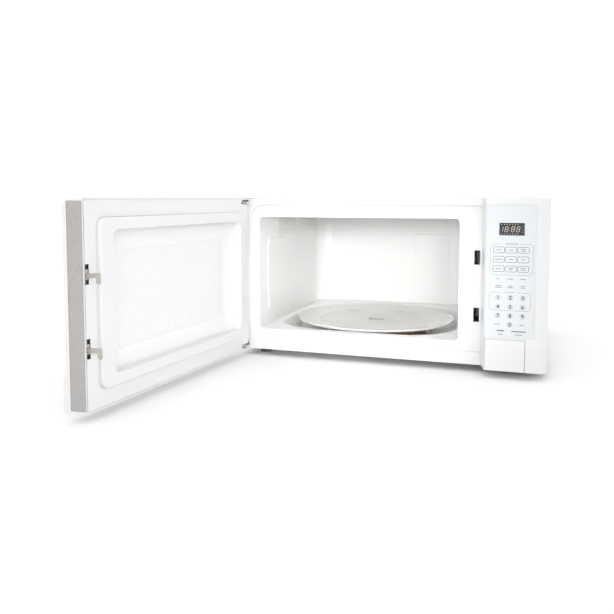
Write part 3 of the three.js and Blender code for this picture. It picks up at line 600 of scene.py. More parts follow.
for place in ("left", "middle", "right"):
    low, high = span("rear_screw_" + place)
    x, z, y = (low[0] + high[0]) / 2, (low[2] + high[2]) / 2, high[1] - 2
    outline = [(0, -3.9), (1.5, -3.9), (1.5, 0.05), (3.9, 0.05), (3.9, 0.9), (2.9, 1.8), (0, 1.95)]
    screw = turned("back_screw_" + place, (x, y, z), outline, axis="y", steps=28, corner=0.2)
    for width, height in ((3.6, 0.7), (0.7, 3.6)):
        recess = block(
            "cross_recess", (x - width / 2, y + 1.0, z - height / 2),
            (x + width / 2, y + 3, z + height / 2),
        )
        shaped_by(screw, "DIFFERENCE", recess)
    soften(screw)
    fit(screw, plated, "cabinet", "plated_steel", "rear_screw_" + place)

black_rubber = finish(
    "bush_rubber", (0.03, 0.03, 0.032), (0.05, 0.05, 0.05), cloud=80, grained=1200, roughness=0.6,
    spread=0.1, bump=0.2, worn=(0.12, 0.12, 0.12), wear=0.5, dusty=0.3,
)
sleeve_end, flange_end = bush_low[1], bush_high[1]
outline = [(4.1, sleeve_end), (6.9, sleeve_end), (6.9, flange_end - 1.9), (10.4, flange_end - 1.9),
           (10.4, flange_end - 0.9), (8, flange_end), (4.1, flange_end), (4.1, sleeve_end)]
bush = turned("lead_bush", (bush_x, 0, bush_z), outline, axis="y", steps=32)
soften(bush, 0.3)
fit(bush, black_rubber, "cabinet", "black_plastic", "cord_inlet_bush")


# Front plate. A white enamelled pressing with a wide shallow recess, where the shut door lies, the cavity's
# mouth, and two upright slots for the door's hooks.
RECESS = {"left": 22, "right": 491.5, "low": 38, "high": 318.4, "floor": 7.2, "corner": 25}
MOUTH = {"left": 38.8, "right": 449, "low": 55.8, "high": 293, "corner": 8}
LATCH_SLOT = {"left": 477.5, "right": 488, "height": 27.4, "lows": (95.4, 205.8)}
(left, front, bottom), (right, back, top) = span("front_plate")
face = panel("front_pressing", (left, front, bottom), (right, back, top), (0, 0, 7, 7))
behind = panel(
    "behind_tool", (left - 5, front + CABINET_SHEET, bottom - 5), (right + 5, back + 5, top + 5), 0,
)
corner = RECESS["corner"]
kept = plate("kept_tool", RECESS, 2, front, back + 9, (corner + 2, 4, 4, corner + 2), 12)
shaped_by(behind, "DIFFERENCE", kept)
pocket = plate("pocket_tool", RECESS, 0, front - 3, RECESS["floor"], (corner, 3, 3, corner), 12)
shaped_by(face, "DIFFERENCE", pocket, behind)


def lip(outline):
    """Where an outline's own edges lie, across and up."""
    (left, front, low), (right, back, high) = reach(outline, 0.1, 0, 0)
    return {"x": (left, right), "z": (low, high)}


for y in (front, RECESS["floor"]):
    round_edges(face, 1.6, 5, y=y, **lip(RECESS))
mouth = plate("mouth_tool", MOUTH, 0, 0, 20, MOUTH["corner"])
slot_tools = []
for z in LATCH_SLOT["lows"]:
    high = (LATCH_SLOT["right"], 20, z + LATCH_SLOT["height"])
    slot_tools.append(panel("slot_tool", (LATCH_SLOT["left"], 0, z), high, 1.2, 3))
shaped_by(face, "DIFFERENCE", mouth, *slot_tools)
soften(face, 0.3)
fit(face, white_enamel("front_enamel"), "cabinet", "white_paint", "front_plate")


# Cooking cavity. Three enamelled sheets are spot welded together: one bent round both sides and the back with
# wide rear corners, a ceiling, and a floor with a sunk well for the roller ring and the tray.
# The cavity's enamel is painted far lighter than the same white enamel outside. This is painted light that
# stands in for the light the deep cavity lacks.
cavity_enamel = white_enamel("cavity_enamel", (0.965, 0.965, 0.957), 800)
REAR_CORNER = 40
WELL = {"floor": 27.5, "half": 179, "corner": 104, "flare": 1.089, "centre": (243, 230.5)}
(left, front, low), (right, back, high) = span("cavity_wall_wrap")
cavity_left, cavity_right = MOUTH["left"], MOUTH["right"]
cavity_back = back - CABINET_SHEET


def rear_corners(piece, back):
    """Rounds the two upright corners at the back of the cavity."""
    for x in (cavity_left, cavity_right):
        round_edges(piece, REAR_CORNER, 14, x=x, y=back)


air = block("enamelled_walls", (cavity_left, front, low), (cavity_right, cavity_back, high))
rear_corners(air, cavity_back)

# A rounded panel is pressed into the back wall, and another into the left wall, turned to its side.
EMBOSS = {"depth": 1.6, "front": 55, "soft": 1.5}
BACK_EMBOSS = {"left": 302, "right": 389, "low": 68, "high": 239}
SIDE_EMBOSS = {"left": cavity_left, "right": cavity_left + 113, "low": 93, "high": 243}
back_panel = plate("emboss_tool", BACK_EMBOSS, 0, cavity_back - EMBOSS["depth"], cavity_back + 6, 10)
side_panel = swung(plate("side_emboss", SIDE_EMBOSS, 0, 50, 58, 12), 90, (cavity_left, 50, 93))
panel_box = [(point.co - at(0, 0, 0)) * 1000 for point in side_panel.data.vertices]
inwards = cavity_left + EMBOSS["depth"] - max(point.x for point in panel_box)
drag(side_panel, (inwards, EMBOSS["front"] - min(point.y for point in panel_box), 0))
for tool in (back_panel, side_panel):
    bevelled(tool, EMBOSS["soft"], 4, 60)
    shaped_by(air, "DIFFERENCE", tool)
for where in ({"y": front}, {"z": low}, {"z": high}):
    cut_away(air, "FACE", **where)
apply(air, "SOLIDIFY", thickness=CABINET_SHEET / 1000, offset=1)

# The steam vents are two fields of small round holes, and the lamp shines through a third on the other side.
VENT = {"radius": 1.35, "along": 4.1, "up": 6.1, "columns": 30, "fronts": (127, 290), "low": 251}
LAMP_HOLES = {"radius": 1.6, "along": 5.2, "up": 4.6, "columns": 6, "front": 321.5, "low": 238}
HOLE_ROWS = 7


def hole_field(x, y, z, field):
    """A field of round bars through a side wall, from its lowest front hole."""
    alone(None)
    bpy.ops.mesh.primitive_cylinder_add(
        vertices=10, radius=field["radius"] / 1000, depth=0.012, location=at(x, y, z),
        rotation=(0, pi / 2, 0),
    )
    bar = bpy.context.object
    bpy.ops.object.transform_apply()
    bpy.ops.transform.resize(value=(1, 1.28, 0.8), center_override=at(x, y, z))
    bpy.ops.object.transform_apply()
    row = repeated(bar, field["columns"], (0, field["along"], 0))
    return repeated(row, HOLE_ROWS, (0, 0, field["up"]))


fields = [hole_field(cavity_left, y, VENT["low"], VENT) for y in VENT["fronts"]]
fields.append(hole_field(cavity_right, LAMP_HOLES["front"], LAMP_HOLES["low"], LAMP_HOLES))
window = block("antenna_window_tool", (cavity_right - 3, 195, 180), (cavity_right + 3, 275, 230))
shaped_by(air, "DIFFERENCE", *fields, window)
soften(air, smooth=30)
fit(air, cavity_enamel, "cabinet", "cavity_enamel", "cavity_wall_wrap")

(left, front, low), (right, back, high) = span("cavity_ceiling")
ceiling = block("enamelled_ceiling", (cavity_left, front, low), (cavity_right, back, low + CABINET_SHEET))
rear_corners(ceiling, back)
soften(ceiling, 0.2)
fit(ceiling, cavity_enamel, "cabinet", "cavity_enamel", "cavity_ceiling")

(left, front, low), (right, back, high) = span("cavity_floor")
floor_top = MOUTH["low"]
floor_back = back - CABINET_SHEET
pan = block("enamelled_floor", (cavity_left, front, floor_top), (cavity_right, floor_back, floor_top + 12))
rear_corners(pan, floor_back)
well_x, well_y = WELL["centre"]
half = WELL["half"]
alone(None)
bpy.ops.mesh.primitive_plane_add(size=2 * half / 1000, location=at(well_x, well_y, WELL["floor"]))
well = bpy.context.object
bpy.ops.object.transform_apply()
for x in (well_x - half, well_x + half):
    for y in (well_y - half, well_y + half):
        select(well, "VERT", x=x, y=y)
        bpy.ops.mesh.bevel(offset=WELL["corner"] / 1000, segments=14, affect="VERTICES")
opened(well, "FACE")
pulled((0, 0, (floor_top + 4 - WELL["floor"]) / 1000))
flare = (WELL["flare"], WELL["flare"], 1)
bpy.ops.transform.resize(value=flare, center_override=at(well_x, well_y, floor_top))
closed_up(well)
round_edges(well, 7, 5, z=WELL["floor"])
shaped_by(pan, "UNION", well)
rim = half * WELL["flare"] + 1
round_edges(pan, 5, 5, z=floor_top, x=(well_x - rim, well_x + rim), y=(well_y - rim, well_y + rim))
cut_away(pan, "VERT", z=(floor_top + 11, floor_top + 13))
apply(pan, "SOLIDIFY", thickness=CABINET_SHEET / 1000, offset=1)
alone(None)
bpy.ops.mesh.primitive_cylinder_add(
    vertices=32, radius=0.006, depth=0.02, location=at(well_x, well_y, WELL["floor"]),
)
shaft_tool = bpy.context.object
bpy.ops.object.transform_apply()
shaped_by(pan, "DIFFERENCE", shaft_tool)
soften(pan, smooth=30)
fit(pan, cavity_enamel, "cabinet", "cavity_enamel", "cavity_floor")

mica = finish(
    "mica_sheet", (0.62, 0.52, 0.37), (0.72, 0.63, 0.48), cloud=45, grained=380, roughness=0.5,
    spread=0.15, bump=0.2, worn=(0.8, 0.72, 0.58), wear=0.4,
)
dress(mica, "waveguide_cover")


# Turntable. The motor under the floor turns a plastic coupler, which carries a pressed glass tray. The tray's
# rim rolls on three wheels held by a brown ring that lies loose in the well.
drive_plastic = finish(
    "drive_plastic", (0.8, 0.79, 0.76), (0.76, 0.75, 0.72), cloud=70, grained=1500, roughness=0.45,
    spread=0.08, worn=(0.9, 0.9, 0.88), wear=0.5,
)
dress(drive_plastic, "turntable_coupler")
dress(plated, "turntable_motor")

ring_brown = finish(
    "ring_plastic", (0.27, 0.13, 0.075), (0.22, 0.105, 0.06), cloud=50, grained=1300, roughness=0.5,
    spread=0.1, bump=0.12, worn=(0.55, 0.38, 0.28), wear=0.6, dusty=0.05,
)
RING = {"inner": 117.4, "outer": 125.8, "half_height": 3.9}
WHEEL = {"radius": 8.5, "half_width": 4, "pitch": 131}
WHEEL_ANGLES = (-133, -13, 107)
axle_height = sum(corner[2] for corner in span("roller_ring")) / 2
hub = (well_x, well_y, axle_height)
inner, outer, half = RING.values()
tread, half_width, pitch = WHEEL.values()
ring = turned(
    "brown_ring", hub,
    [(inner, -half), (outer, -half), (outer, half), (inner, half), (inner, -half)], steps=120,
)
bevelled(ring, 1.6, 3, 40)
for angle in WHEEL_ANGLES:
    axle_outline = [(0, inner + 3), (1.9, inner + 3), (1.9, pitch + 5.5), (1.4, pitch + 6), (0, pitch + 6)]
    axle = turned("axle", hub, axle_outline, axis="x", steps=16)
    boss = block(
        "boss", (well_x + inner - 3.5, well_y - 6, axle_height - 3.2),
        (well_x + outer + 0.6, well_y + 6, axle_height + 3.2),
    )
    bevelled(boss, 1, 2, 30)
    for tool in (axle, boss):
        shaped_by(ring, "UNION", swung(tool, -angle, hub))
soften(ring, smooth=40)
fit(ring, ring_brown, "ring", "ring_plastic", "roller_ring")

# A wheel has a sunk ring in both of its faces, given by radius and depth from its bore to its tread.
wheel_face = [(2.3, 0), (4.2, 0), (4.6, 0.9), (6.6, 0.9), (7, 0), (tread, 0)]
wheel_outline = [(radius, pitch - half_width + depth) for radius, depth in wheel_face]
wheel_outline += [(radius, pitch + half_width - depth) for radius, depth in reversed(wheel_face)]
wheel = turned("ring_wheel", hub, wheel_outline + wheel_outline[:1], axis="x")
soften(wheel, 0.35, 3)
for number, angle in enumerate(WHEEL_ANGLES):
    this_wheel = swung(copied(wheel, f"ring_wheel_{number + 1}"), -angle, hub)
    fit(this_wheel, drive_plastic, "roller_" + "abc"[number], "drive_plastic", f"roller_{number + 1}")
bpy.data.objects.remove(wheel)

TRAY = {"radius": 181, "well": 130.5, "rim": 57.7, "top": 49.6, "under": 45.1}
edge, well_edge, rim, top, under = TRAY.values()
tray_outline = [
    (0, under), (well_edge + 5, under), (edge - 4, rim - 5.4), (edge, rim - 3.4), (edge, rim - 0.8),
    (edge - 0.8, rim), (edge - 2.6, rim), (edge - 5, rim - 1.6), (well_edge + 8, top + 0.9),
    (well_edge, top), (0, top),
]
tray = turned("glass_tray", (well_x, well_y, 0), tray_outline, steps=160, corner=0.5)
soften(tray, smooth=20)
# The tray's middle, inside the well's radius, is painted a darker grey than its rim. This is painted shade
# for the dim well seen under the glass. The same mask also raises the rim as a real bump.
tray_painted_shade_and_rim, given, made = effect(
    "tray_painted_shade_and_rim", {"Colour": "Color", "Shaded Well Colour": "Color", "Radius": "Float"},
    {"Colour": "Color", "Height": "Float"},
)
place = node(tray_painted_shade_and_rim, "TexCoord", {}).outputs["Object"]
centred = node(tray_painted_shade_and_rim, "Mapping", {"Vector": place, "Location": -at(well_x, well_y, 0)}).outputs["Vector"]
flat = node(tray_painted_shade_and_rim, "VectorMath", {0: centred, 1: (1, 1, 0)}, operation="MULTIPLY").outputs["Vector"]
distance = node(tray_painted_shade_and_rim, "VectorMath", {0: flat}, operation="LENGTH").outputs["Value"]
past_edge = math(tray_painted_shade_and_rim, "MULTIPLY", math(tray_painted_shade_and_rim, "SUBTRACT", distance, given["Radius"]), 300.0)
rise = math(tray_painted_shade_and_rim, "SMOOTH_MIN", past_edge, 1.0)
outside = node(tray_painted_shade_and_rim, "Clamp", {"Value": rise}).outputs["Result"]
tray_painted_shade_and_rim.links.new(
    blend_colours(tray_painted_shade_and_rim, outside, given["Shaded Well Colour"], given["Colour"]), made["Colour"],
)
tray_painted_shade_and_rim.links.new(outside, made["Height"])
# The glass is given a darker grey in its middle as painted shade, and its rim stays light.
pressed_glass = finish(
    "pressed_glass", (0.97, 0.985, 0.95), (0.97, 0.985, 0.95), cloud=12, grained=220, roughness=0.09,
    spread=0.03, bump=0.12, wear=0.0, dusty=0.0,
    pattern=(tray_painted_shade_and_rim, {"Shaded Well Colour": (0.74, 0.72, 0.7, 1), "Radius": 0.131}),
    **{"Transmission Weight": 0.18, "IOR": 1.47},
)
fit(tray, pressed_glass, "turntable", "clear_glass", "turntable_tray")

# A small pressed mark of plain bars in the middle of the tray.
tray_grey = finish(
    "tray_mark", (0.1, 0.1, 0.1), (0.13, 0.13, 0.13), cloud=90, grained=900, wear=0.0, dusty=0.0,
)
mark = block("tray_mark", (well_x - 17, well_y - 3, top - 0.01), (well_x - 8, well_y + 3, top + 0.2))
repeated(mark, 3, (13, 0, 0))
second_row = copied(mark, "tray_mark_low", (4, -10, 0))
alone(mark)
second_row.select_set(True)
bpy.ops.object.join()
soften(mark, 0.03, 1)
fit(mark, tray_grey, "turntable", "clear_glass")


# Machinery. Sealed in beside the cavity are the magnetron and its waveguide, the transformer, capacitor and
# diode that feed it, the fan in its shroud, the lamp, and the boards and switches.
def tracks(tree):
    track = textured(tree, "TexBrick", {"Scale": 90.0, "Mortar Size": 0.03})["Fac"]
    return track, track


def sheet_edges(tree):
    edge = textured(tree, "TexWave", {"Scale": 260.0, "Distortion": 0.4}, bands_direction="Z")["Fac"]
    return edge, edge


board_tracks = two_tone("board_tracks", "Track Colour", tracks)
laminations = two_tone("laminations", "Edge Colour", sheet_edges)

dress(galvanised("magnetron_zinc", (0.62, 0.63, 0.62)), "waveguide", "magnetron", "interlock_bracket")
varnish = finish(
    "transformer_varnish", (0.12, 0.11, 0.105), (0.16, 0.14, 0.12), cloud=40, grained=600, roughness=0.5,
    bump=0.1, worn=(0.4, 0.38, 0.35), wear=0.6, dusty=0.5, metallic=0.6,
    pattern=(laminations, {"Edge Colour": (0.2, 0.17, 0.14, 1)}),
)
dress(varnish, "high_voltage_transformer")
motor_core = finish(
    "fan_motor_core", (0.24, 0.21, 0.19), (0.3, 0.22, 0.17), cloud=40, grained=700, roughness=0.45,
    bump=0.1, worn=(0.6, 0.5, 0.4), wear=0.6, dusty=0.4, metallic=0.7,
    pattern=(laminations, {"Edge Colour": (0.42, 0.24, 0.13, 1)}),
)
dress(motor_core, "fan_motor")
can_metal = finish(
    "capacitor_can", (0.62, 0.62, 0.61), (0.55, 0.55, 0.54), cloud=30, grained=1200, roughness=0.38,
    spread=0.12, wear=0.6, dusty=0.3, metallic=0.95,
)
dress(can_metal, "high_voltage_capacitor")
black_moulding = finish(
    "black_moulding", (0.03, 0.03, 0.033), (0.045, 0.045, 0.047), cloud=60, grained=1500, roughness=0.42,
    spread=0.1, bump=0.12, worn=(0.14, 0.14, 0.14), wear=0.6, dusty=0.3,
)
dress(black_moulding, "high_voltage_diode", "thermal_cutout", "fan_blade")
dress(black_moulding, "upper_door_switch", "lower_door_switch")
shroud_grey = finish(
    "shroud_grey", (0.5, 0.5, 0.49), (0.45, 0.45, 0.44), cloud=30, grained=1300, roughness=0.5,
    spread=0.1, bump=0.12, worn=(0.62, 0.62, 0.61), wear=0.5, dusty=0.4,
)
dress(shroud_grey, "fan_shroud")
board_green = finish(
    "green_board", (0.03, 0.13, 0.06), (0.04, 0.16, 0.075), cloud=60, grained=900, roughness=0.4,
    spread=0.1, bump=0.1, worn=(0.2, 0.3, 0.2), wear=0.4, dusty=0.3,
    pattern=(board_tracks, {"Track Colour": (0.06, 0.22, 0.1, 1)}),
)
dress(board_green, "noise_filter_board", "control_board")
bulb_glass = finish(
    "bulb_glass", (0.95, 0.93, 0.88), (0.97, 0.95, 0.9), cloud=60, grained=500, roughness=0.08,
    spread=0.03, wear=0.0, dusty=0.0, **{"Transmission Weight": 0.9, "IOR": 1.47},
)
dress(bulb_glass, "oven_lamp")
latch_grey = finish(
    "latch_plastic", (0.4, 0.38, 0.35), (0.37, 0.35, 0.32), cloud=60, grained=1400, roughness=0.42,
    spread=0.1, bump=0.1, worn=(0.72, 0.7, 0.66), wear=0.6, dusty=0.15,
)
dress(latch_grey, "lamp_socket", "open_lever")
dress(plated, "lever_spring", "latch_spring")
for end in ("upper", "lower"):
    dress(plated, end + "_hinge_bracket", end + "_hinge_pin")


# Control panel. The white moulded fascia has a bevelled top and outer side and a chin along the bottom. It
# hooks onto the front plate and carries the touch membrane, the display and the door-open button.
white_plastic = finish(
    "white_moulding", (0.75, 0.75, 0.755), (0.74, 0.74, 0.745), grained=1500, roughness=0.36,
    bump=0.07, wear=0.2, dusty=0.04,
)
FACE = {"front": -34.5, "shoulder": -29.5, "chin": -40, "chin_top": 74, "chin_full": 64, "bottom": 14.3,
        "top": 333.6, "bevel": 13, "edge": 2.7, "wall": 2.5}


def ringed(piece, height):
    """Cuts a line of edges round a piece at a height."""
    opened(piece, "FACE")
    bpy.ops.mesh.bisect(plane_co=at(0, 0, height), plane_no=(0, 0, 1))
    bpy.ops.object.mode_set(mode="OBJECT")


def moulded_face(name, left, right, back, outer, lean):
    """The fascia shape that the door and the control panel share, open at the back. The outer side is
    bevelled and the other one leans back inwards by a number of millimetres."""
    front, shoulder, bottom, top = [FACE[part] for part in ("front", "shoulder", "bottom", "top")]
    inner = left if outer == right else right
    inwards = 1 if outer == left else -1
    piece = block(name, (left, shoulder, bottom), (right, back, top))
    select(piece, "FACE", y=shoulder)
    pulled((0, (front - shoulder) / 1000, 0))
    drag(piece, (0, 0, -FACE["bevel"]), y=front, z=top)
    drag(piece, (inwards * FACE["bevel"], 0, 0), x=outer, y=front)
    drag(piece, (-inwards * lean, 0, 0), x=inner, y=back)
    drag(piece, (-inwards * lean * (shoulder - front) / (back - front), 0, 0), x=inner, y=shoulder)
    for height in (FACE["chin_full"], FACE["chin_top"]):
        ringed(piece, height)
    drag(piece, (0, FACE["chin"] - front, 0), y=front, z=(bottom - 1, FACE["chin_full"] + 0.1))
    cut_away(piece, "FACE", y=back)
    bevelled(piece, FACE["edge"], 4, 15)
    return apply(piece, "SOLIDIFY", thickness=FACE["wall"] / 1000, offset=-1, use_even_offset=True)


(left, front, bottom), (right, back, top) = span("control_panel_housing")
FASCIA = {"left": 499, "lean": -7.1, "seam": 1.6}
BUTTON = {"left": 501, "right": 571.6, "low": 14.8, "high": 72.6, "back": -24.3, "slope": 4.73, "wall": 2.2}
MEMBRANE = {"left": 502.2, "right": 586.6, "low": 76.5, "high": 320.3}
DISPLAY = {"left": 522.8, "right": 566.3, "low": 265, "high": 287.5}
fascia = moulded_face("control_fascia", FASCIA["left"], right, back, right, FASCIA["lean"])
drag(fascia, (0, -FASCIA["seam"], 0), x=(left - 1, left + 3.5), y=back)
button_bay = block(
    "button_bay", (BUTTON["left"] - 0.6, -41, BUTTON["low"] - 1.5),
    (BUTTON["right"] + 0.6, -17.7, BUTTON["high"] + 0.6),
)
membrane_bed = plate("membrane_bed", MEMBRANE, 0.3, -36, -33.6, (5.3, 9.3, 5.3, 5.3))
display_hole = block("display_hole", *reach(DISPLAY, -2, -36, -30))
shaped_by(fascia, "DIFFERENCE", button_bay, membrane_bed, display_hole)
soften(fascia, smooth=30)
fit(fascia, white_plastic, "cabinet", "white_plastic", "control_panel_housing")

# The button is a hollow cap that follows the chin, with a rib for the lever and a guide.
key = block("open_button", *reach(BUTTON, 0, FACE["chin"], BUTTON["back"]))
ringed(key, FACE["chin_full"])
drag(key, (0, BUTTON["slope"], 0), y=FACE["chin"], z=BUTTON["high"])
cut_away(key, "FACE", y=BUTTON["back"])
bevelled(key, 1.2, 3, 15)
apply(key, "SOLIDIFY", thickness=BUTTON["wall"] / 1000, offset=-1, use_even_offset=True)
lever_rib = block("lever_rib", (507, -39, 58), (512, 13.7, 61))
guide_rib = block("guide_rib", (540, -39, 30), (543, -18.3, 50))
shaped_by(key, "UNION", lever_rib, guide_rib)
soften(key, smooth=30)
fit(key, white_plastic, "release_button", "white_plastic", "door_open_button")

membrane_film = finish(
    "membrane_film", (0.69, 0.72, 0.745), (0.68, 0.71, 0.735), cloud=5, grained=1800, roughness=0.34,
    spread=0.05, bump=0.05, wear=0.1, dusty=0.0,
)
film = plate("touch_film", MEMBRANE, 0, FACE["front"], -33.9, (5, 9, 5, 5))
shaped_by(film, "DIFFERENCE", block("film_hole", *reach(DISPLAY, 0.3, -36, -30)))
soften(film, 0.12, 1)
fit(film, membrane_film, "cabinet", "membrane_film", "touch_membrane")

display_dark = finish(
    "display_dark", (0.022, 0.018, 0.024), (0.026, 0.022, 0.028), cloud=40, grained=1200, roughness=0.22,
    spread=0.05, worn=(0.2, 0.2, 0.2), wear=0.1, dusty=0.0,
)
screen_front = FACE["front"] + 0.1
pane = plate("display_pane", DISPLAY, 0, screen_front, screen_front + 0.6, 0.8, 3)
soften(pane, 0.1, 1)
fit(pane, display_dark, "cabinet", "display_plastic", "display_window")


def joined(pieces, name):
    """Joins pieces that don't touch into one object."""
    alone(pieces[0])
    if len(pieces) > 1:
        for piece in pieces[1:]:
            piece.select_set(True)
        bpy.ops.object.join()
    pieces[0].name = name
    return pieces[0]


# The display shows four slanted figures made of bars, and rows of small marks round them.
FIGURE = {"z": 276.2, "bar": 4.4, "half": 2.55, "thick": 0.95, "slant": 9}
FIGURE_BARS = {
    "8": ("top", "middle", "bottom", "high left", "high right", "low left", "low right"),
    "1": ("high right", "low right"),
}


def bar(length, x, z, lean=0.0):
    """One pointed bar of a figure. An upright one leans to the right by a number of degrees."""
    half = FIGURE["thick"] / 2
    low = (x - length / 2, screen_front - 0.05, z - half)
    high = (x + length / 2, screen_front + 0.02, z + half)
    made_bar = panel("figure_bar", low, high, half - 0.03, 1)
    if lean:
        swung(made_bar, 90 - lean, (x, low[1], z), "Y")
    return made_bar


bars = []
for x, figure in ((526.2, "1"), (535.2, "8"), (546.4, "8"), (555.4, "8")):
    length, half, lean = FIGURE["bar"], FIGURE["half"], FIGURE["slant"]
    shift = length * sin(radians(lean))
    for part in FIGURE_BARS[figure]:
        level = 1 if "high" in part or part == "top" else -1
        if part in ("top", "bottom"):
            bars.append(bar(2 * half - 0.7, x + level * shift, FIGURE["z"] + level * (length + 0.25)))
        elif part == "middle":
            bars.append(bar(2 * half - 0.7, x, FIGURE["z"]))
        else:
            side = 1 if "right" in part else -1
            bars.append(
                bar(
                    length - 0.5, x + side * half + level * shift / 2,
                    FIGURE["z"] + level * (length / 2 + 0.12), lean,
                ),
            )
for level in (-1, 1):
    bars.append(bar(1.1, 540.8 + level * 0.3, FIGURE["z"] + level * 2))
for row in (267.6, 284.6):
    for step in range(7):
        bars.append(bar(2.2, 527 + 4.6 * step, row))
for step in range(4):
    bars.append(bar(1.4, 563.2, 270.4 + 3.7 * step))
figures = joined(bars, "display_figures")
soften(figures)
figure_grey = finish(
    "figure_print", (0.66, 0.62, 0.5), (0.6, 0.57, 0.46), cloud=90, grained=900, wear=0.0,
    dusty=0.0,
)
fit(figures, figure_grey, "cabinet", "display_plastic")

# Printing on the membrane, in ink a few hundredths of a millimetre thick. Plain dashes stand for words.
PRINT_BACK = FACE["front"] + 0.01


def printed(name, pieces, colour):
    """Joins printed shapes and gives them an ink."""
    whole = joined(pieces, name)
    soften(whole)
    ink = finish(
        name, colour, tuple(0.94 * value for value in colour), cloud=90, grained=1500, roughness=0.5,
        spread=0.04, wear=0.0, dusty=0.0,
    )
    return fit(whole, ink, "cabinet", "membrane_film")


def rounded_line(left, low, right, high, radius, width):
    """A printed outline with rounded corners."""
    line = panel("line", (left, FACE["front"] - 0.05, low), (right, PRINT_BACK, high), radius, 5)
    inside = panel(
        "inside", (left + width, FACE["front"] - 1, low + width),
        (right - width, PRINT_BACK + 1, high - width), radius - width, 5,
    )
    return shaped_by(line, "DIFFERENCE", inside)


def dashes(x, z, count, height=1.3):
    """A short row of dashes, centred at x and z, that stands for a word."""
    dash, gap = 1.25, 0.35
    start = x - (count * dash + (count - 1) * gap) / 2
    word = panel(
        "word", (start, FACE["front"] - 0.05, z - height / 2), (start + dash, PRINT_BACK, z + height / 2),
        0.2, 2,
    )
    return repeated(word, count, (dash + gap, 0, 0))


KEYS = {"left": 512.7, "low": 198, "width": 20.1, "height": 11.6, "across": 21.25, "up": 17.25}
outlines = rounded_line(
    KEYS["left"], KEYS["low"], KEYS["left"] + KEYS["width"], KEYS["low"] + KEYS["height"], 3, 0.8,
)
repeated(repeated(outlines, 3, (KEYS["across"], 0, 0)), 3, (0, 0, KEYS["up"]))
brackets = []
for left, low, right, high in ((507.5, 192.6, 582.2, 249.4), (507, 127, 580, 160.8)):
    bracket = rounded_line(left, low, right, high, 7, 0.65)
    caption_gap = block("caption_gap", (left + 21, -36, high - 3), (right - 22, -30, high + 3))
    brackets.append(shaped_by(bracket, "DIFFERENCE", caption_gap))
printed("key_outlines", [outlines], (0.13, 0.135, 0.16))
printed("bracket_lines", brackets, (0.33, 0.35, 0.39))

words = [dashes(544.5, 249.4, 14), dashes(543.2, 160.8, 11, 0.8)]
key_words = ((6,), (5,), (5, 5)), ((8,), (5,), (4,)), ((6,), (6, 4), (6, 5))
for row, cells in enumerate(key_words):
    for column, lines in enumerate(cells):
        x = KEYS["left"] + KEYS["width"] / 2 + column * KEYS["across"]
        z = KEYS["low"] + KEYS["height"] / 2 + (2 - row) * KEYS["up"]
        for line, count in enumerate(lines):
            words.append(dashes(x, z + (1.4 - 2.8 * line if len(lines) > 1 else 0), count))
for x, z, count in (
    (522, 185.3, 4), (544, 185.3, 6), (565.5, 185.3, 6), (523, 172.6, 6), (523, 169.6, 7), (544, 172.6, 4),
    (544, 169.6, 7), (566, 172.6, 5), (566, 169.6, 5), (522.6, 101.4, 6), (565.3, 101, 5), (528.3, 82.8, 5),
    (560.1, 83.2, 8),
):
    words.append(dashes(x, z, count))
printed("small_words", words, (0.12, 0.125, 0.145))
printed("bold_words", [dashes(528.3, 89.6, 8, 2.6), dashes(560.1, 89.1, 16, 2.2)], (0.1, 0.1, 0.12))

PAD = {"radius": 5.3, "size": 9.2}
number_places = [(x, z) for z in (150.8, 133.9, 117.3) for x in (523, 544.5, 566)] + [(544.3, 101.2)]
pads = []
numbers = []
pad_front = FACE["front"] - 0.02
pad_outline = [(0, PRINT_BACK), (PAD["radius"], PRINT_BACK), (PAD["radius"], pad_front), (0, pad_front)]
for number, (x, z) in zip("1234567890", number_places):
    pads.append(turned("pad", (x, 0, z), pad_outline, axis="y", steps=28))
    alone(None)
    bpy.ops.object.text_add(rotation=(pi / 2, 0, 0))
    text = bpy.context.object
    text.data.body = number
    text.data.size = PAD["size"] / 1000
    text.data.align_x = "CENTER"
    text.data.align_y = "CENTER"
    text.data.extrude = 0.00003
    text.data.offset = 0.00015
    text.data.resolution_u = 4
    bpy.ops.object.convert(target="MESH")
    text = bpy.context.object
    text.location = at(x, FACE["front"] - 0.04, z)
    bpy.ops.object.transform_apply()
    numbers.append(closed_up(text))
printed("number_pads", pads, (0.58, 0.61, 0.645))
printed("number_print", numbers, (0.05, 0.05, 0.065))


# Door. The moulded frame holds a clear outer pane, a painted inner sheet, a moulded choke cover and a
# perforated steel screen. The pieces are laid out shut and swung open together about the hinge pins.
HINGE = {"x": 7.8, "y": -12.6, "open": 97, "hole": 3.1}
DOOR = {"left": 3, "right": 495, "back": -1.5, "lean": 6.5}
WINDOW = {"left": 78, "right": 415, "low": 92, "high": 258}
PIN_BOSSES = ((300, 316), (32, 48))
PIN_HOLES = ((303, 320), (30, 45))
ARM_SPACES = ((315.8, 330.4), (17.4, 32.2))
TAB_OPENINGS = ((319.6, 328.4), (18.6, 27.4))
STRIP = {"front": -27.3, "back": -3.6, "lean": 4.76, "bed_lean": 5.6, "low": 20, "high": 328}
door_left, door_right, door_back, door_lean = DOOR.values()
hinge = (HINGE["x"], HINGE["y"], 0)
frame_shell = moulded_face("door_shell", door_left, door_right, door_back, door_left, door_lean)
for low, high in PIN_BOSSES:
    boss = block("pin_boss", (door_left + 1, HINGE["y"] - 8, low), (HINGE["x"] + 8, door_back - 4.5, high))
    shaped_by(frame_shell, "UNION", boss)
window_hole = plate("window_hole", WINDOW, 0, -43, -28, 14, 10)
strip_bed = block(
    "strip_bed", (door_right - 3, STRIP["front"], STRIP["low"] - 1), (500, 0, STRIP["high"] + 1),
)
drag(strip_bed, (-STRIP["bed_lean"], 0, 0), x=door_right - 3, y=0)
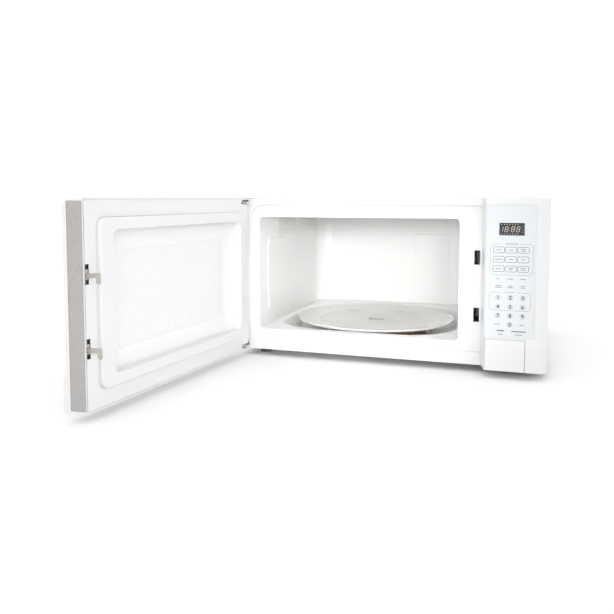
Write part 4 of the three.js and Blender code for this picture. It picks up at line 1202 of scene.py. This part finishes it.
arm_spaces = [
    block("arm_space", (-5, HINGE["y"] - 9, low), (HINGE["x"] + 10, 5, high))
    for low, high in ARM_SPACES
]
shaped_by(frame_shell, "DIFFERENCE", window_hole, strip_bed, *arm_spaces)
for low, high in PIN_HOLES:
    pin_outline = [(0, low), (HINGE["hole"], low), (HINGE["hole"], high), (0, high)]
    shaped_by(frame_shell, "DIFFERENCE", turned("pin_hole", hinge, pin_outline, steps=24))
soften(frame_shell, smooth=30)
door_pieces = [(frame_shell, white_plastic, "door", "white_plastic", "door_outer_frame")]

# The free edge carries a stuck-on film with a faint mottle.
def flecks(tree):
    fleck = spread_out(tree, object_noise(tree, 420.0, 3.0), 0.42, 0.62)
    return fleck, fleck


mottle = two_tone("mottle", "Fleck Colour", flecks)
edge_film = finish(
    "edge_film", (0.42, 0.4, 0.39), (0.4, 0.38, 0.37), cloud=12, grained=900, roughness=0.45, spread=0.08,
    bump=0.1, worn=(0.6, 0.6, 0.6), wear=0.1, dusty=0.0,
    pattern=(mottle, {"Fleck Colour": (0.34, 0.32, 0.31, 1)}),
)
inner, outer = door_right - 2.8, door_right - 1.6
strip = block(
    "edge_strip", (inner, STRIP["front"] + 1.3, STRIP["low"]), (outer, STRIP["back"], STRIP["high"]),
)
for x in (inner, outer):
    drag(strip, (-STRIP["lean"], 0, 0), x=x, y=STRIP["back"])
soften(strip, 0.2)
door_pieces.append((strip, edge_film, "door", "edge_film", "door_edge_strip"))

window_glass = finish(
    "window_glass", (0.86, 0.88, 0.88), (0.88, 0.9, 0.9), grained=300, roughness=0.06,
    spread=0.02, bump=0.02, wear=0.0, dusty=0.0, **{"Transmission Weight": 1.0, "IOR": 1.5},
)
glass = plate("outer_pane", WINDOW, 8, -31.7, -28.7, 16, 10)
soften(glass, 0.3)
door_pieces.append((glass, window_glass, "door", "window_glass", "door_outer_window"))

CHOKE = {"left": 28, "right": 459.6, "low": 45.4, "high": 304, "corner": 15, "front": 5.7}
OPENING = {"left": 48, "right": 430.4, "low": 64, "high": 284.5, "corner": 12}
INNER_SHEET = {"left": 6, "right": 484.9, "low": 17.2, "high": 330.8, "front": -3.2, "back": -1.9}
inner_sheet = block("inner_sheet", *reach(INNER_SHEET, 0, INNER_SHEET["front"], INNER_SHEET["back"]))
choke_hole = plate("choke_hole", CHOKE, 0.3, -5, 1, 15, 10)
hook_slots = [block("hook_slot", (476.4, -5, low + 1), (484.4, 1, low + 31)) for low in LATCH_SLOT["lows"]]
tab_slots = [block("tab_slot", (-5, -5, low), (HINGE["x"] + 22, 5, high)) for low, high in TAB_OPENINGS]
shaped_by(inner_sheet, "DIFFERENCE", choke_hole, *hook_slots, *tab_slots)
soften(inner_sheet, 0.2)
door_pieces.append((inner_sheet, white_enamel("door_enamel"), "door", "white_paint", "door_inner_panel"))

choke = plate("choke_moulding", CHOKE, 0, -3.5, CHOKE["front"], CHOKE["corner"], 10)
round_edges(choke, 2.5, 4, y=CHOKE["front"])
hollow = plate("choke_hollow", CHOKE, -2, -10, CHOKE["front"] - 2, CHOKE["corner"] - 2, 10)
shaped_by(choke, "DIFFERENCE", hollow)
lining = plate("choke_lining", OPENING, 2, -11.7, CHOKE["front"] - 0.5, OPENING["corner"] + 2, 10)
shaped_by(choke, "UNION", lining)
opening = plate("choke_opening", OPENING, 0, -30, 30, OPENING["corner"], 10)
shaped_by(choke, "DIFFERENCE", opening)
round_edges(choke, 1.6, 3, y=CHOKE["front"], **lip(OPENING))
soften(choke, smooth=30)
door_pieces.append((choke, white_plastic, "door", "white_plastic", "choke_cover"))

# The screen: one square of sheet with a round hole is repeated both ways, and a plain margin is drawn out
# from its edges before the sheet is given its thickness.
SCREEN = {"left": 90, "low": 95, "pitch": 3.6, "across": 87, "up": 44, "hole": 1.12, "y": -12, "sheet": 0.7}
alone(None)
pitch = SCREEN["pitch"]
cell_x, cell_z = SCREEN["left"] + pitch / 2, SCREEN["low"] + pitch / 2
bpy.ops.mesh.primitive_plane_add(
    size=pitch / 1000, location=at(cell_x, SCREEN["y"], cell_z), rotation=(-pi / 2, 0, 0),
)
screen = bpy.context.object
screen.name = "perforated_screen"
bpy.ops.object.transform_apply()
opened(screen, "FACE")
bpy.ops.mesh.subdivide(number_cuts=1)
select(screen, "VERT", x=cell_x, z=cell_z)
bpy.ops.mesh.bevel(offset=SCREEN["hole"] / 1000, segments=2, affect="VERTICES")
cut_away(screen, "FACE", x=(cell_x - 1.3, cell_x + 1.3), z=(cell_z - 1.3, cell_z + 1.3))
for count, step in ((SCREEN["across"], (pitch, 0, 0)), (SCREEN["up"], (0, 0, pitch))):
    apply(
        screen, "ARRAY", count=count, use_relative_offset=False, use_constant_offset=True,
        constant_offset_displace=Vector(step) / 1000, use_merge_vertices=True, merge_threshold=0.00002,
    )
field_right, field_high = SCREEN["left"] + SCREEN["across"] * pitch, SCREEN["low"] + SCREEN["up"] * pitch
outer_edges = []
for edge in ({"x": SCREEN["left"]}, {"x": field_right}, {"z": SCREEN["low"]}, {"z": field_high}):
    select(screen, "EDGE", **edge)
    bpy.ops.object.mode_set(mode="OBJECT")
    outer_edges += [line.index for line in screen.data.edges if line.select]
for index in outer_edges:
    screen.data.edges[index].select = True
bpy.ops.object.mode_set(mode="EDIT")
pulled((0, 0, 0))
margin_x, margin_z = OPENING["right"] - OPENING["left"] + 8, OPENING["high"] - OPENING["low"] + 8
middle_x, middle_z = (SCREEN["left"] + field_right) / 2, (SCREEN["low"] + field_high) / 2
bpy.ops.transform.resize(
    value=(margin_x / (field_right - SCREEN["left"]), 1, margin_z / (field_high - SCREEN["low"])),
    center_override=at(middle_x, SCREEN["y"], middle_z),
)
to_x = (OPENING["left"] + OPENING["right"]) / 2 - middle_x
to_z = (OPENING["low"] + OPENING["high"]) / 2 - middle_z
bpy.ops.transform.translate(value=(to_x / 1000, 0, to_z / 1000))
bpy.ops.object.mode_set(mode="OBJECT")
apply(screen, "SOLIDIFY", thickness=SCREEN["sheet"] / 1000, offset=-1)
soften(screen)
screen_paint = white_enamel("screen_enamel", (0.84, 0.838, 0.83), 1400)
door_pieces.append((screen, screen_paint, "door", "screen_paint", "door_screen"))

# The latch bar slides behind the inner sheet and puts two hooks out through its slots.
HOOK = {"left": 479, "right": 483, "reach": 22.5, "rise": 10, "height": 8}
latch = block("hook_bar", (HOOK["left"], -16, 87.4), (HOOK["right"], -7, 251.8))
for slot_low in LATCH_SLOT["lows"]:
    low = slot_low + HOOK["rise"]
    high, nose, reach = low + HOOK["height"], slot_low + 2.5, HOOK["reach"]
    side = [(-10, low), (reach - 6, low + 2), (reach - 6, nose + 3), (reach - 2, nose), (reach, nose + 3),
            (reach, high - 1), (reach - 3, high + 1.5), (-10, high - 1.5)]
    hook = drawn("hook", [(HOOK["left"], y, z) for y, z in side], closed=True)
    bpy.ops.mesh.bevel(offset=0.0007, segments=3, affect="VERTICES")
    opened(hook, "FACE")
    pulled(((HOOK["right"] - HOOK["left"]) / 1000, 0, 0))
    shaped_by(latch, "UNION", closed_up(hook))
for low in LATCH_SLOT["lows"]:
    shoulder = block("shoulder", (HOOK["left"] - 2, -7.5, low + 8), (HOOK["right"] + 0.8, -3.5, low + 23))
    shaped_by(latch, "UNION", shoulder)
peg_outline = [(0, 250.8), (1.4, 250.8), (1.4, 255.8), (0, 255.8)]
peg = turned("spring_peg", (HOOK["left"] + 2, -11.5, 0), peg_outline, steps=16)
shaped_by(latch, "UNION", peg)
soften(latch, 0.35)
door_pieces.append((latch, latch_grey, "latch", "latch_plastic", "latch_bar"))

for piece, material, body, slot, replaced in door_pieces:
    swung(piece, HINGE["open"], hinge)
    fit(piece, material, body, slot, replaced)
